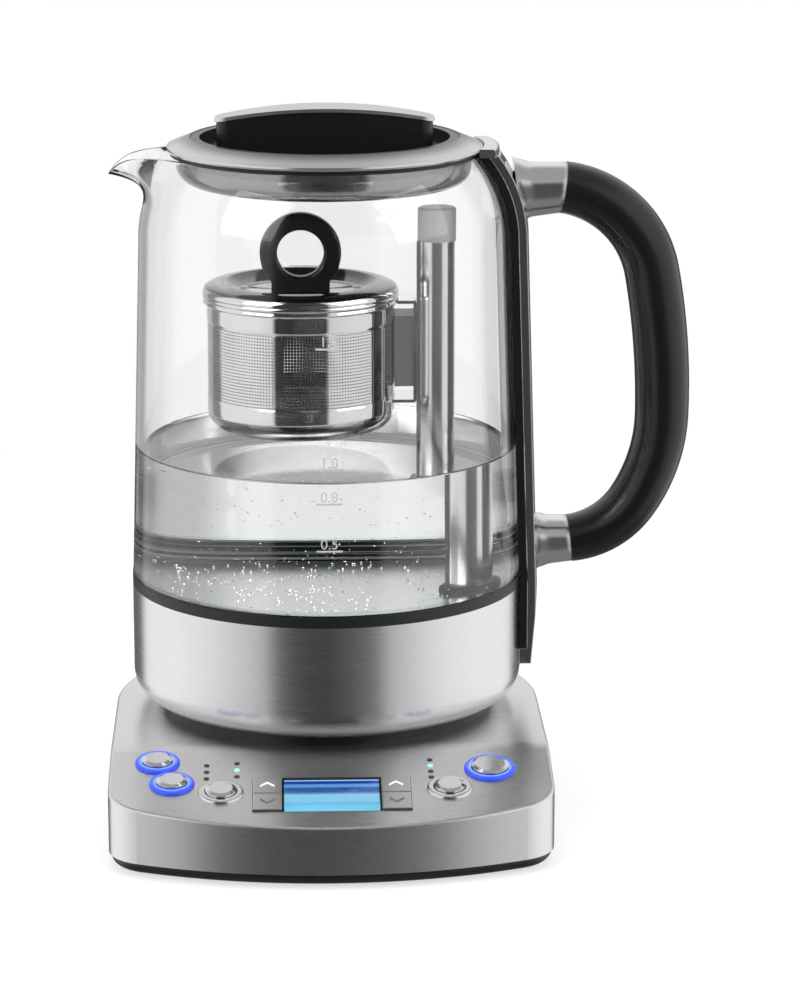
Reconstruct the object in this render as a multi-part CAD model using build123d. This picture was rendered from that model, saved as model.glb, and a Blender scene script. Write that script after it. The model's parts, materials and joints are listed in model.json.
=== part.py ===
from build123d import *
import math
import os

os.makedirs("parts", exist_ok=True)

# An automatic tea maker: a glass jug with a steel heater band stands on a powered base, and a tea
# basket rides up and down a guide post inside the jug. All sizes are in millimetres. The origin is
# the jug's axis at table height, +Z is up, the panel faces -Y, the spout -X and the handle +X.

# Clearances
SEAT_GAP = 0.3          # between pieces that move past each other
GLUE_GAP = 0.2          # bonded or gasketed joint
SHAFT_GAP = 0.1         # running clearance of the lead screw
SHEET = 0.8             # pressed steel sheet

# Base
BASE_HALF_WIDTH = 81.3
BASE_FRONT = 126.5      # jug axis to the middle of the bowed front edge
BASE_CORNER_Y = 106.5   # jug axis to the front corners
BASE_CORNER_R = 18.0
BASE_TOP = 34.5         # level part of the top, which carries the jug
BASE_EDGE_R = 1.2
COVER_WALL = 1.2
COVER_LOW = 5.5         # lower edge of the steel cover
TRAY_LOW = 1.0
TRAY_FLOOR = 2.5
TRAY_INSET = 0.9
TRAY_LIP = 4.0          # height of the tray's locating lip inside the cover
TRAY_LIP_WALL = 2.0
TRAY_EDGE_R = 4.0
FOOT_RING_INSET = 15.3  # base's back edge to the ring foot
FOOT_RING_WIDTH = 6.0
FOOT_PAD_R = 7.0
FOOT_PAD_INSET = 21.3   # base's side to the middle of a front pad
FOOT_PAD_SETBACK = 14.5 # front corner to the middle of a front pad
CORD_SLOT_WIDTH = 9.0
CORD_SLOT_HEIGHT = 7.0
CORD_SLOT_REACH = 12.0  # base's back edge to the slot's inner end
BASE_SCREW_R = 2.0
BASE_SCREW_HEAD_R = 3.4
SCREW_HEAD_HEIGHT = 1.6
SCREW_GRIP = 8.0        # thread in the cover's studs
SCREW_BOSS_WALL = 1.6
BASE_SCREW_INSET = 11.3
BASE_SCREW_SETBACK = 48.5   # front corner to the front screws

# Control panel: the front of the base top slopes down from PANEL_START
PANEL_START = 65.0
PANEL_SLOPE = 10.5
PANEL_BLEND_R = 35.0
BUTTON_R = 5.7
WIDE_BUTTON_R = 6.9
BUTTON_PROUD = 2.4
BUTTON_LENGTH = 7.0
BUTTON_TRAVEL = 1.0
BUTTON_BEVEL = 1.4
RING_WIDTH = 2.3        # halo or bezel, from its bore to its outer edge
RING_PROUD = 1.1
RING_TOP_R = 0.9        # rounding of the ring's upper edge
RING_BARREL = 0.9       # wall of the ring's barrel below its flange
LCD_LENGTH = 35.4
LCD_DEPTH = 24.4
LCD_PROUD = 0.5
LCD_GLASS = 1.6
LCD_V = -37.0           # middle of the display, up the slope from the panel's upper edge
KEY_WIDTH = 10.6
KEY_GAP = 0.4
KEY_PROUD = 0.9
KEY_THICK = 3.0
KEY_TRAVEL = 0.6
KEY_EDGE_R = 0.5
LED_R = 1.0
LED_LENGTH = 7.0
LED_PROUD = 0.2
CARRIER_THICK = 2.0
BOARD_DEPTH = 10.0      # panel surface to the control board's top
BOARD_THICK = 1.6
BOARD_LENGTH = 146.0
BOARD_HEIGHT = 46.0
CARRIER_START = 6.0     # panel's upper edge to the carrier and the board
SWITCH_SIDE = 6.0
SWITCH_CASE = 3.5
SWITCH_PLUNGER_R = 1.7
BOARD_POST_R = 2.5
BOARD_POST_X = 62.0
BOARD_POST_V = (-10.0, -40.0)
POWER_BOARD_X = -62.0   # left edge
POWER_BOARD_WIDTH = 32.0
POWER_BOARD_LENGTH = 72.0
POWER_BOARD_Z = 9.0
RELAY_WIDTH = 16.0
RELAY_LENGTH = 29.0
RELAY_HEIGHT = 15.0
RELAY_CORNER_R = 1.0

# Connector between base and jug
SOCKET_R = 16.0
SOCKET_BODY_WALL = 4.0
SOCKET_FLANGE_WIDTH = 7.0
SOCKET_FLANGE_STEP = 2.0    # the flange's rest under the edge of the cover's hole
SOCKET_RISE = 11.5      # base top to the socket's top
JUG_PLATE_LIP = 6.0     # overhang of the jug connector's plate
GROOVE_INNER_R = 8.5
GROOVE_OUTER_R = 12.0
GROOVE_DEPTH = 10.0
PIN_R = 1.6
PIN_BORE_R = 2.2
PIN_BORE_SUMP = 2.0     # depth of the pin's bore below the groove's floor
SHUTTER_HEIGHT = 4.0
CONTACT_THICK = 0.6
CONTACT_HEIGHT = 5.0

# Jug
JUG_R = 74.5            # steel band, outside
BAND_LIFT = 3.6         # base top to the band's lower edge
BAND_HEIGHT = 44.3
BAND_CORNER_R = 10.5
JUG_FOOT_INSET = 11.3   # band's side to the foot ring
JUG_FOOT_WIDTH = 6.0
SEAL_HEIGHT = 4.1
GLASS_WALL = 3.0
GLASS_STEP = 0.2        # the glass stands this much inside the band's side
GLASS_TAPER = 4.2       # fall in radius from the band to the shoulder
WALL_HEIGHT = 132.6     # band's upper edge to where the shoulder starts to turn in
SHOULDER_RISE = 31.8    # from there to the rim
NECK_INSET = 19.2       # band's side to the neck's bore
RIM_WIDTH = 2.7
PLATE_DROP = 2.4        # band's upper edge to the heater plate's face
PLATE_THICK = 1.5
PLATE_SKIRT = 6.0
SPOUT_REACH = 10.7      # shoulder radius to the spout's tip
SPOUT_TIP_DROP = 9.0    # rim to the tip
SPOUT_ROOT_INSET = 3.8  # shoulder radius to where the spout's underside leaves the wall
SPOUT_ROOT_DROP = 15.8  # rim to the same place
SPOUT_HALF_ANGLE = 25.0
SPOUT_NOSE_R = 3.5
SPOUT_WALL = 2.2
SPOUT_FLOOR = 1.2       # extra thickness of the spout's floor
SPOUT_STATIONS = 5
ELEMENT_R = 47.0
ELEMENT_TUBE_R = 3.5
ELEMENT_SWEEP = 270.0
TERMINAL_TURN = 4.0     # degrees from the element's end to its terminal
TERMINAL_LENGTH = 14.0
SENSOR_R = 6.0
SENSOR_HEIGHT = 3.0
SENSOR_Y = 24.0
THERMOSTAT_SIDE = 13.0
THERMOSTAT_HEIGHT = 12.0
THERMOSTAT_CORNER_R = 2.0

# Spine and handle
SPINE_WIDTH = 28.0
LINER_THICK = 3.0
SPINE_THICK = 3.2
SPINE_DROP = 31.6       # band's upper edge to the spine's lower tip
SPINE_TOE = 6.0         # height of the toe that closes the liner's lower end
SPINE_TIP_THICK = 3.4   # whole thickness at the lower tip
SPINE_TAPER = 33.2      # height of the taper towards the tip
CAP_REACH = 5.7         # width of the cap outside the lid's gap
CAP_THICK = 3.2
CAP_WIDTH = 36.0
CAP_RISE = 3.4          # rim to the cap's top
CAP_EDGE_R = 1.2
GRIP_WIDTH = 25.0       # across the handle's plane
GRIP_TOP_DEPTH = 19.6   # in the handle's plane, at the upper end
GRIP_DEPTH = 20.8       # half way down
GRIP_LOW_DEPTH = 17.8   # at the lower end
GRIP_TOP = (15.5, 13.6)         # points on the grip's middle line, out from the band's side:
GRIP_SHOULDER = (49.2, 45.8)    # two below the rim, and three above the band's upper edge
GRIP_WAIST = (53.8, 63.6)
GRIP_HEEL = (42.9, 29.1)
GRIP_LOW = (18.9, 14.7)
GRIP_TOP_DROP = 8.0     # degrees below level where the grip starts
BRACKET_STEP = 0.2      # the grip stands this much proud of the brackets
BRACKET_TAPER = 0.7     # growth of a bracket's half depth from the grip to its flare
BRACKET_FLARE = 2.2     # further growth in the flare at the spine
BRACKET_FLARE_LENGTH = 4.0
BRACKET_RISE = 3.0      # degrees

# Lid
LID_OVERHANG = 1.5      # lid ring past the glass rim
LID_RING_WIDTH = 8.9
LID_RING_HEIGHT = 4.7   # at its inner edge
LID_EDGE_HEIGHT = 1.3
LID_SEAL_THICK = 1.7
DISH_RIM_WIDTH = 1.8
DISH_DEPTH = 9.0
DISH_WALL = 1.6
DISH_CORNER_R = 6.0
SKIRT_GAP = 0.7         # between the neck's bore and the skirt
SKIRT_DEPTH = 12.9
SKIRT_CORNER_R = 6.0
GRIP_END_GAP = 6.5      # dish wall to the ends of the lid's grip
LID_GRIP_WIDTH = 17.0
LID_GRIP_END_R = 5.0
GRIP_END_TAPER = 3.0
TRIM_RISE = 11.2        # lid ring's top to the top of the arched trim
TRIM_FALL = 4.0         # fall of the arch towards its ends
TRIM_THICK = 1.3
TRIM_OVERHANG = 0.6

# Guide post and basket lift
POST_X = 42.1
POST_R = 6.9
POST_WALL = 0.8
POST_RISE = 18.8        # basket's upper edge to the top of the tube
POST_CAP_HEIGHT = 12.8
POST_CAP_STEP = 0.4     # the cap is this much wider than the tube
RAIL_REACH = 0.8
RAIL_WIDTH = 6.0
RAIL_START = 3.0        # above the heater plate
POST_SEAL_WIDTH = 3.0
POST_SEAL_BEVEL = 1.0
POST_SINK = 4.0         # tube below the heater plate
PLUG_LENGTH = 8.0
SCREW_R = 1.8
SCREW_SEAT = 4.5        # lead screw's hold in the motor's socket
SCREW_SHORT = 4.9       # lead screw ends below the top of the tube
MOTOR_R = 11.0
MOTOR_HEIGHT = 26.0

# Tea basket
BASKET_X = -9.4
BASKET_R = 35.7
BASKET_WALL = 0.8
BASKET_DROP = 52.2      # jug's rim to the basket's upper edge
BASKET_DEPTH = 52.2
BASKET_CORNER_R = 8.0
BASKET_RIM_WIDTH = 1.5
BASKET_RIM_HEIGHT = 4.0
BASKET_EDGE_R = 0.7
SCREEN_START = 13.1     # basket's lower edge to the screen band
SCREEN_HEIGHT = 28.5
SCREEN_RELIEF = 0.3
BRACKET_START = 10.4    # basket's lower edge to the hanger
BRACKET_HEIGHT = 39.2
BRACKET_WIDTH = 18.0
BRACKET_WALL = 1.2
MAGNET_LENGTH = 27.0
BASKET_LID_RISE = 3.8
LID_SHOULDER = 8.4      # width of the domed shoulder
RECESS_RUN = 4.6        # width of the recess's sloping wall
RECESS_DEPTH = 4.0
PLUG_DEPTH = 2.0
RING_R = 15.4
RING_HOLE_R = 8.8
RING_RISE = 10.5        # basket lid's top to the middle of the finger ring
RING_THICK = 6.0
RING_STEM_WIDTH = 22.0
RING_EDGE_R = 1.4

# Derived places
PANEL = Plane(
    origin=(0, -PANEL_START, BASE_TOP),
    x_dir=(1, 0, 0),
    z_dir=(0, -math.sin(math.radians(PANEL_SLOPE)), math.cos(math.radians(PANEL_SLOPE))),
).location
SLOPE_DIP = math.tan(math.radians(PANEL_SLOPE))
TRAY_TOP = TRAY_LOW + TRAY_FLOOR
TRAY_LIP_TOP = COVER_LOW + TRAY_LIP
KEY_HEIGHT = (LCD_DEPTH - KEY_GAP) / 2
COVER_UNDER = BASE_TOP - COVER_WALL
FOOT_RING_R = BASE_HALF_WIDTH - FOOT_RING_INSET
SOCKET_BODY_R = SOCKET_R + SOCKET_BODY_WALL
SOCKET_FLANGE_R = SOCKET_BODY_R + SOCKET_FLANGE_WIDTH
SOCKET_TOP = BASE_TOP + SOCKET_RISE
BAND_LOW = BASE_TOP + BAND_LIFT
SEAM_Z = BAND_LOW + BAND_HEIGHT
SEAL_TOP = SEAM_Z + SEAL_HEIGHT
PLATE_TOP = SEAM_Z - PLATE_DROP
JUG_FOOT_R = JUG_R - JUG_FOOT_INSET
GLASS_FOOT_R = JUG_R - GLASS_STEP
SHOULDER_R = JUG_R - GLASS_TAPER
SHOULDER_Z = SEAM_Z + WALL_HEIGHT
NECK_R = JUG_R - NECK_INSET
RIM_R = NECK_R + RIM_WIDTH
RIM_Z = SHOULDER_Z + SHOULDER_RISE
SHOULDER_FALL = SHOULDER_R - RIM_R
SHOULDER_ARC = (SHOULDER_FALL ** 2 + SHOULDER_RISE ** 2) / (2 * SHOULDER_FALL)
SHOULDER_CENTRE_X = SHOULDER_R - SHOULDER_ARC
SPOUT_TIP = SHOULDER_R + SPOUT_REACH
SPOUT_TIP_Z = RIM_Z - SPOUT_TIP_DROP
SPOUT_ROOT_R = SHOULDER_R - SPOUT_ROOT_INSET
SPOUT_ROOT_Z = RIM_Z - SPOUT_ROOT_DROP
SPINE_LOW = SEAM_Z - SPINE_DROP
SPINE_TAPER_Z = SPINE_LOW + SPINE_TAPER
LID_R = RIM_R + LID_OVERHANG
LID_RING_INNER_R = LID_R - LID_RING_WIDTH
SKIRT_R = NECK_R - SKIRT_GAP
CAP_OUTER_R = LID_R + SEAT_GAP + CAP_REACH
CAP_TOP = RIM_Z + CAP_RISE
BASKET_TOP = RIM_Z - BASKET_DROP
BASKET_LOW = BASKET_TOP - BASKET_DEPTH
BASKET_RIM_R = BASKET_R + BASKET_RIM_WIDTH
BASKET_LID_TOP = BASKET_TOP + BASKET_LID_RISE
SCREEN_LOW = BASKET_LOW + SCREEN_START
SCREEN_TOP = SCREEN_LOW + SCREEN_HEIGHT
BRACKET_LOW = BASKET_LOW + BRACKET_START
BRACKET_TOP = BRACKET_LOW + BRACKET_HEIGHT
RECESS_R = BASKET_RIM_R - LID_SHOULDER
RING_CENTRE_Z = BASKET_LID_TOP + RING_RISE
POST_TOP = BASKET_TOP + POST_RISE
POST_CAP_R = POST_R + POST_CAP_STEP
SCREW_TOP = POST_TOP - SCREW_SHORT
RAIL_FACE_X = POST_X - POST_R - RAIL_REACH
BRACKET_FACE_X = RAIL_FACE_X - SEAT_GAP
DISH_R = LID_RING_INNER_R - GLUE_GAP
DISH_IN_R = DISH_R - DISH_RIM_WIDTH - DISH_WALL
LID_GRIP_HALF = DISH_IN_R - GRIP_END_GAP
LID_UNDER = RIM_Z + LID_SEAL_THICK
LID_EDGE_TOP = LID_UNDER + LID_EDGE_HEIGHT
LID_RING_TOP = LID_UNDER + LID_RING_HEIGHT
SKIRT_LOW = LID_UNDER - SKIRT_DEPTH
TRIM_CENTRE_Z = LID_RING_TOP + TRIM_RISE
DISH_FLOOR = LID_RING_TOP - DISH_DEPTH
WINDOW_LENGTH = LCD_LENGTH + 2 * (KEY_WIDTH + KEY_GAP)
WINDOW_DEPTH = LCD_DEPTH + KEY_GAP
CONNECTOR_HOLE_R = SOCKET_FLANGE_R - SOCKET_FLANGE_STEP
GROOVE_FLOOR = SOCKET_TOP - GROOVE_DEPTH
SHUTTER_TOP = GROOVE_FLOOR + SEAT_GAP + SHUTTER_HEIGHT
JUG_PLATE_Z = SOCKET_TOP + SEAT_GAP
PLATE_UNDER = PLATE_TOP - PLATE_THICK
POST_LOW = PLATE_UNDER - POST_SINK
SCREW_LOW = POST_LOW - SCREW_SEAT
STRAP_TOP = CAP_TOP - CAP_THICK
LINER_FACE = GLUE_GAP + LINER_THICK
SPINE_FACE = LINER_FACE + SPINE_THICK

# Round buttons: name -> (x, place up the slope, radius, has a lit halo)
BUTTONS = {
    "auto_start": (-63.7, -12.0, BUTTON_R, True),
    "keep_warm": (-58.1, -28.3, BUTTON_R, True),
    "tea_type": (-40.2, -35.5, BUTTON_R, False),
    "strength": (42.9, -33.6, BUTTON_R, False),
    "hot_water": (58.3, -18.8, WIDE_BUTTON_R, True),
}
# Arrow keys: name -> (side, half of the display's height that it fills)
KEYS = {
    "temp_up": (-1, 1),
    "temp_down": (-1, -1),
    "time_up": (1, 1),
    "time_down": (1, -1),
}
TEA_LED_X = (-45.6, -34.5)
TEA_LED_V = (-14.4, -19.4, -24.4)
TEA_LED_SHIFT = 1.4
STRENGTH_LED_X = 36.5
STRENGTH_LED_V = (-11.6, -16.0, -20.4, -24.8)


def on_panel(x, v, depth=0.0):
    """Location on the sloping panel, depth below its surface."""
    return PANEL * Pos(x, v, -depth)


def disc(radius, low, high, x=0.0, y=0.0):
    """Upright cylinder between two heights."""
    return Pos(x, y, low) * extrude(Circle(radius), high - low)


def ring(outer, inner, low, high, x=0.0, y=0.0):
    """Upright tube between two heights."""
    return disc(outer, low, high, x, y) - disc(inner, low, high, x, y)


def block(x_low, x_high, y_low, y_high, z_low, z_high):
    """Box between two corners."""
    size = (x_high - x_low, y_high - y_low, z_high - z_low)
    return Pos(x_low, y_low, z_low) * Box(*size, align=Align.MIN)


def turned(*points):
    """Solid of revolution about Z from a closed outline of (radius, height) points."""
    return revolve(Plane.XZ * make_face(Polyline(*points, close=True)), Axis.Z)


def base_outline(inset=0.0):
    """Plan of the base: bowed front, straight sides and a half-round back."""
    w = BASE_HALF_WIDTH
    front = ThreePointArc((w, -BASE_CORNER_Y), (0, -BASE_FRONT), (-w, -BASE_CORNER_Y))
    left = Line((-w, -BASE_CORNER_Y), (-w, 0))
    back = ThreePointArc((-w, 0), (0, w), (w, 0))
    right = Line((w, 0), (w, -BASE_CORNER_Y))
    face = make_face([front, left, back, right])
    face = fillet(face.vertices().group_by(Axis.Y)[0], BASE_CORNER_R)
    return offset(face, -inset) if inset else face


def base_block(inset, low, drop):
    """Base volume inset from the outline, with its top lowered by drop."""
    body = Pos(0, 0, low) * extrude(base_outline(inset), BASE_TOP - drop - low)
    reach = 2 * BASE_FRONT
    above = PANEL * Pos(0, 0, -drop) * Box(reach, reach, reach, align=(Align.CENTER, Align.MAX, Align.MIN))
    body = body - above
    crease = body.edges().filter_by(Axis.X).sort_by(Axis.Z)[-1]
    return fillet(crease, PANEL_BLEND_R - drop)


def ring_barrel_r(radius):
    """Outer radius of the barrel of a round button's ring, where it passes the cover."""
    return radius + SEAT_GAP + RING_BARREL


def make_base_cover():
    outer = base_block(0, COVER_LOW, 0)
    outer = fillet([e for e in outer.edges() if is_top_edge(e)], BASE_EDGE_R)
    cover = outer - base_block(COVER_WALL, COVER_LOW, COVER_WALL)
    cover -= disc(CONNECTOR_HOLE_R, COVER_UNDER - 1, BASE_TOP + 1)
    studs = [disc(BASE_SCREW_HEAD_R, TRAY_LIP_TOP, COVER_UNDER, x, y) for x, y in screw_places()]
    bores = [disc(BASE_SCREW_R, TRAY_LIP_TOP, TRAY_LIP_TOP + SCREW_GRIP, x, y) for x, y in screw_places()]
    cover = cover + studs - bores
    return cover - panel_openings(4 * COVER_WALL) - cord_slot()


def panel_openings(depth):
    """Cutters for the buttons, the display with its keys, and the indicators."""
    holes = [(x, v, ring_barrel_r(radius) + GLUE_GAP) for x, v, radius, _ in BUTTONS.values()]
    cutters = [on_panel(x, v) * Cylinder(radius, depth) for x, v, radius in holes]
    cutters.append(on_panel(0, LCD_V) * Box(WINDOW_LENGTH + KEY_GAP, WINDOW_DEPTH + KEY_GAP, depth))
    led_hole = Cylinder(LED_R + GLUE_GAP / 2, depth)
    cutters += [on_panel(x, v) * led_hole for x, v in tea_led_places() + strength_led_places()]
    return cutters


def is_top_edge(edge):
    """True for the edges round the base's upper rim."""
    middle = edge @ 0.5
    low_end = BASE_TOP - (BASE_FRONT - PANEL_START) * SLOPE_DIP
    on_side = abs(middle.X) > BASE_HALF_WIDTH - BASE_CORNER_R or middle.Y > 0 or middle.Y < -BASE_CORNER_Y
    return on_side and middle.Z > low_end - 1 and abs(edge.tangent_at(0.5).Z) < 0.5


def tea_led_places():
    """Two columns of indicators for the tea types, the inner one a little further up."""
    return [(x, v + column * TEA_LED_SHIFT) for column, x in enumerate(TEA_LED_X) for v in TEA_LED_V]


def strength_led_places():
    """One column of indicators for the strength."""
    return [(STRENGTH_LED_X, v) for v in STRENGTH_LED_V]


def cord_slot():
    """Slot at the middle of the back, through the tray's lip and the cover."""
    half = CORD_SLOT_WIDTH / 2
    back = BASE_HALF_WIDTH
    return block(-half, half, back - CORD_SLOT_REACH, back + 1, TRAY_TOP, TRAY_TOP + CORD_SLOT_HEIGHT)


def screw_places():
    """Four screws that hold the tray in the cover."""
    reach = BASE_HALF_WIDTH - BASE_SCREW_INSET
    diagonal = reach / math.sqrt(2)
    places = ((reach, BASE_SCREW_SETBACK - BASE_CORNER_Y), (diagonal, diagonal))
    return [(side * x, y) for x, y in places for side in (-1, 1)]


def make_base_tray():
    skirt = Pos(0, 0, TRAY_LOW) * extrude(base_outline(TRAY_INSET), COVER_LOW - TRAY_LOW)
    skirt = fillet(skirt.faces().sort_by(Axis.Z)[0].edges(), TRAY_EDGE_R)
    inner = COVER_WALL + GLUE_GAP
    lip = Pos(0, 0, COVER_LOW) * extrude(base_outline(inner), TRAY_LIP)
    hollow = Pos(0, 0, TRAY_TOP) * extrude(base_outline(inner + TRAY_LIP_WALL), BASE_TOP)
    tray = skirt + lip - hollow
    for x, y in screw_places():
        tray += disc(BASE_SCREW_HEAD_R + SCREW_BOSS_WALL, TRAY_TOP, TRAY_LIP_TOP, x, y)
        tray -= disc(BASE_SCREW_R + GLUE_GAP, TRAY_LOW - 1, TRAY_LIP_TOP, x, y)
        tray -= disc(BASE_SCREW_HEAD_R + GLUE_GAP, TRAY_LOW - 1, TRAY_TOP, x, y)
    tray += [board_post(x, v) for x in (-BOARD_POST_X, BOARD_POST_X) for v in BOARD_POST_V]
    tray += [disc(BOARD_POST_R, TRAY_TOP, POWER_BOARD_Z, x, y) for x, y in power_post_places()]
    return tray - cord_slot()


def board_post(x, v):
    """Post of the tray that ends on the sloping underside of the control board."""
    seat = on_panel(x, v, BOARD_DEPTH + BOARD_THICK)
    post = disc(BOARD_POST_R, TRAY_TOP, BASE_TOP, seat.position.X, seat.position.Y)
    reach = 2 * BASE_TOP
    return post - seat * Box(reach, reach, reach, align=(Align.CENTER, Align.CENTER, Align.MIN))


def power_post_places():
    """Four posts under the corners of the power board."""
    inset = 2 * BOARD_POST_R
    xs = (POWER_BOARD_X + inset, POWER_BOARD_X + POWER_BOARD_WIDTH - inset)
    half = POWER_BOARD_LENGTH / 2 - inset
    return [(x, y) for x in xs for y in (-half, half)]


def make_base_feet():
    ring_foot = ring(FOOT_RING_R, FOOT_RING_R - FOOT_RING_WIDTH, 0, TRAY_LOW)
    pad_x, pad_y = BASE_HALF_WIDTH - FOOT_PAD_INSET, FOOT_PAD_SETBACK - BASE_CORNER_Y
    pads = [disc(FOOT_PAD_R, 0, TRAY_LOW, side * pad_x, pad_y) for side in (-1, 1)]
    return Compound([ring_foot, *pads])


def make_base_screws():
    screws = []
    for x, y in screw_places():
        head = disc(BASE_SCREW_HEAD_R, TRAY_TOP - SCREW_HEAD_HEIGHT, TRAY_TOP, x, y)
        socket = disc(BASE_SCREW_R / 2, TRAY_TOP - SCREW_HEAD_HEIGHT, TRAY_TOP - SCREW_HEAD_HEIGHT / 2, x, y)
        shank = disc(BASE_SCREW_R, TRAY_TOP, TRAY_LIP_TOP + SCREW_GRIP, x, y)
        screws.append(head + shank - socket)
    return Compound(screws)


def panel_slab(inset, depth, thick, length, low_v, high_v):
    """Plate under the panel at a depth, kept inside the cover by inset."""
    size_v = high_v - low_v
    slab = on_panel(0, (low_v + high_v) / 2, depth) * Box(
        length, size_v, thick, align=(Align.CENTER, Align.CENTER, Align.MAX)
    )
    return slab & base_block(inset, COVER_LOW, COVER_WALL)


def make_panel_carrier():
    plate = panel_slab(
        COVER_WALL + GLUE_GAP, COVER_WALL, CARRIER_THICK, BOARD_LENGTH, -panel_run(), -CARRIER_START
    )
    return plate - panel_openings(4 * (COVER_WALL + CARRIER_THICK))


def panel_run():
    """Length of the slope from its upper edge to the front of the base."""
    return (BASE_FRONT - PANEL_START) / math.cos(math.radians(PANEL_SLOPE))


def make_control_board():
    inset = COVER_WALL + TRAY_LIP_WALL + 2 * GLUE_GAP
    low_v = BOARD_HEIGHT + CARRIER_START
    return panel_slab(inset, BOARD_DEPTH, BOARD_THICK, BOARD_LENGTH, -low_v, -CARRIER_START)


def make_panel_switches():
    """A tactile switch on the board under each button and key, clear of it at full travel."""
    gaps = [(x, v, BUTTON_LENGTH - BUTTON_PROUD + BUTTON_TRAVEL) for x, v, _, _ in BUTTONS.values()]
    gaps += [(*key_place(name), KEY_THICK - KEY_PROUD + KEY_TRAVEL) for name in KEYS]
    switches = []
    for x, v, reach in gaps:
        case = Box(SWITCH_SIDE, SWITCH_SIDE, SWITCH_CASE, align=(Align.CENTER, Align.CENTER, Align.MIN))
        plunger = extrude(Circle(SWITCH_PLUNGER_R), BOARD_DEPTH - reach - SHAFT_GAP)
        switches.append(on_panel(x, v, BOARD_DEPTH) * (case + plunger))
    return Compound(switches)


def make_power_board():
    half = POWER_BOARD_LENGTH / 2
    right = POWER_BOARD_X + POWER_BOARD_WIDTH
    return block(POWER_BOARD_X, right, -half, half, POWER_BOARD_Z, POWER_BOARD_Z + BOARD_THICK)


def make_power_relay():
    x = POWER_BOARD_X + POWER_BOARD_WIDTH / 2
    case = Pos(x, 0, POWER_BOARD_Z + BOARD_THICK) * Box(
        RELAY_WIDTH, RELAY_LENGTH, RELAY_HEIGHT, align=(Align.CENTER, Align.CENTER, Align.MIN)
    )
    return fillet(case.edges().filter_by(Axis.Z), RELAY_CORNER_R)


def make_lcd_window():
    glass = on_panel(0, LCD_V, -LCD_PROUD) * Box(
        LCD_LENGTH, LCD_DEPTH, LCD_GLASS, align=(Align.CENTER, Align.CENTER, Align.MAX)
    )
    return chamfer(glass.faces().sort_by(Axis.Z)[-1].edges(), LCD_PROUD / 2)


def make_lcd_module():
    top = LCD_GLASS - LCD_PROUD
    size = (LCD_LENGTH - 2 * KEY_GAP, LCD_DEPTH - 2 * KEY_GAP, BOARD_DEPTH - top)
    return on_panel(0, LCD_V, top) * Box(*size, align=(Align.CENTER, Align.CENTER, Align.MAX))


def make_leds(places):
    lens = Cylinder(LED_R, LED_LENGTH, align=(Align.CENTER, Align.CENTER, Align.MAX))
    return Compound([on_panel(x, v, -LED_PROUD) * lens for x, v in places])


def panel_ring(radius):
    """Ring round a button: a rounded flange on the panel and a barrel through the cover."""
    bore = radius + SEAT_GAP
    flange = ring(bore + RING_WIDTH, bore, 0, RING_PROUD)
    flange = fillet(flange.edges().group_by(Axis.Z)[-1].sort_by(SortBy.RADIUS)[-1], RING_TOP_R)
    return flange + ring(ring_barrel_r(radius), bore, -COVER_WALL - CARRIER_THICK, 0)


def make_panel_rings(lit):
    """Lit halo rings, or the plain bezels of the two selector buttons."""
    return Compound([on_panel(x, v) * panel_ring(r) for x, v, r, halo in BUTTONS.values() if halo == lit])


def make_button(name):
    """Cap with a flat crown, a broad bevel and a straight barrel."""
    x, v, radius, _ = BUTTONS[name]
    foot = BUTTON_PROUD - BUTTON_LENGTH
    rim = BUTTON_PROUD - BUTTON_BEVEL / 2
    cap = turned(
        (0, foot), (radius, foot), (radius, rim), (radius - BUTTON_BEVEL, BUTTON_PROUD), (0, BUTTON_PROUD)
    )
    return on_panel(x, v) * cap


def key_place(name):
    """Middle of an arrow key on the panel."""
    side, half = KEYS[name]
    return side * (LCD_LENGTH + KEY_WIDTH + 2 * KEY_GAP) / 2, LCD_V + half * (KEY_HEIGHT + KEY_GAP) / 2


def make_key(name):
    x, v = key_place(name)
    key = Box(KEY_WIDTH, KEY_HEIGHT, KEY_THICK, align=(Align.CENTER, Align.CENTER, Align.MAX))
    key = fillet(key.faces().sort_by(Axis.Z)[-1].edges(), KEY_EDGE_R)
    return on_panel(x, v, -KEY_PROUD) * key


def make_base_connector():
    """Socket that stands on the tray and comes up through the cover."""
    socket = disc(SOCKET_BODY_R, TRAY_TOP, COVER_UNDER)
    socket += disc(SOCKET_FLANGE_R, COVER_UNDER - CARRIER_THICK, COVER_UNDER)
    socket += disc(CONNECTOR_HOLE_R - GLUE_GAP, COVER_UNDER, BASE_TOP)
    socket += disc(SOCKET_R, BASE_TOP, SOCKET_TOP)
    socket -= ring(GROOVE_OUTER_R, GROOVE_INNER_R, GROOVE_FLOOR, SOCKET_TOP)
    socket -= disc(PIN_BORE_R, GROOVE_FLOOR - PIN_BORE_SUMP, SOCKET_TOP)
    return socket - contact_ring()


def contact_ring():
    """Ring contact let into the outer wall of the groove."""
    low = SHUTTER_TOP + SEAT_GAP
    return ring(GROOVE_OUTER_R + CONTACT_THICK, GROOVE_OUTER_R, low, low + CONTACT_HEIGHT)


def make_connector_shutter():
    """Ring that covers the live groove, held down while the jug stands on the base."""
    wall = (GROOVE_INNER_R + SEAT_GAP, GROOVE_OUTER_R - SEAT_GAP)
    return ring(wall[1], wall[0], GROOVE_FLOOR + SEAT_GAP, SHUTTER_TOP)


def make_jug_connector():
    plate = disc(SOCKET_BODY_R + JUG_PLATE_LIP, JUG_PLATE_Z, JUG_PLATE_Z + CARRIER_THICK)
    skirt = ring(SOCKET_BODY_R, SOCKET_R + 2 * SEAT_GAP, BAND_LOW, JUG_PLATE_Z)
    blade_bore = GROOVE_INNER_R + 2 * SEAT_GAP
    blade = ring(GROOVE_OUTER_R - SEAT_GAP, blade_bore, SHUTTER_TOP + SEAT_GAP, JUG_PLATE_Z)
    return plate + skirt + blade


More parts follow.
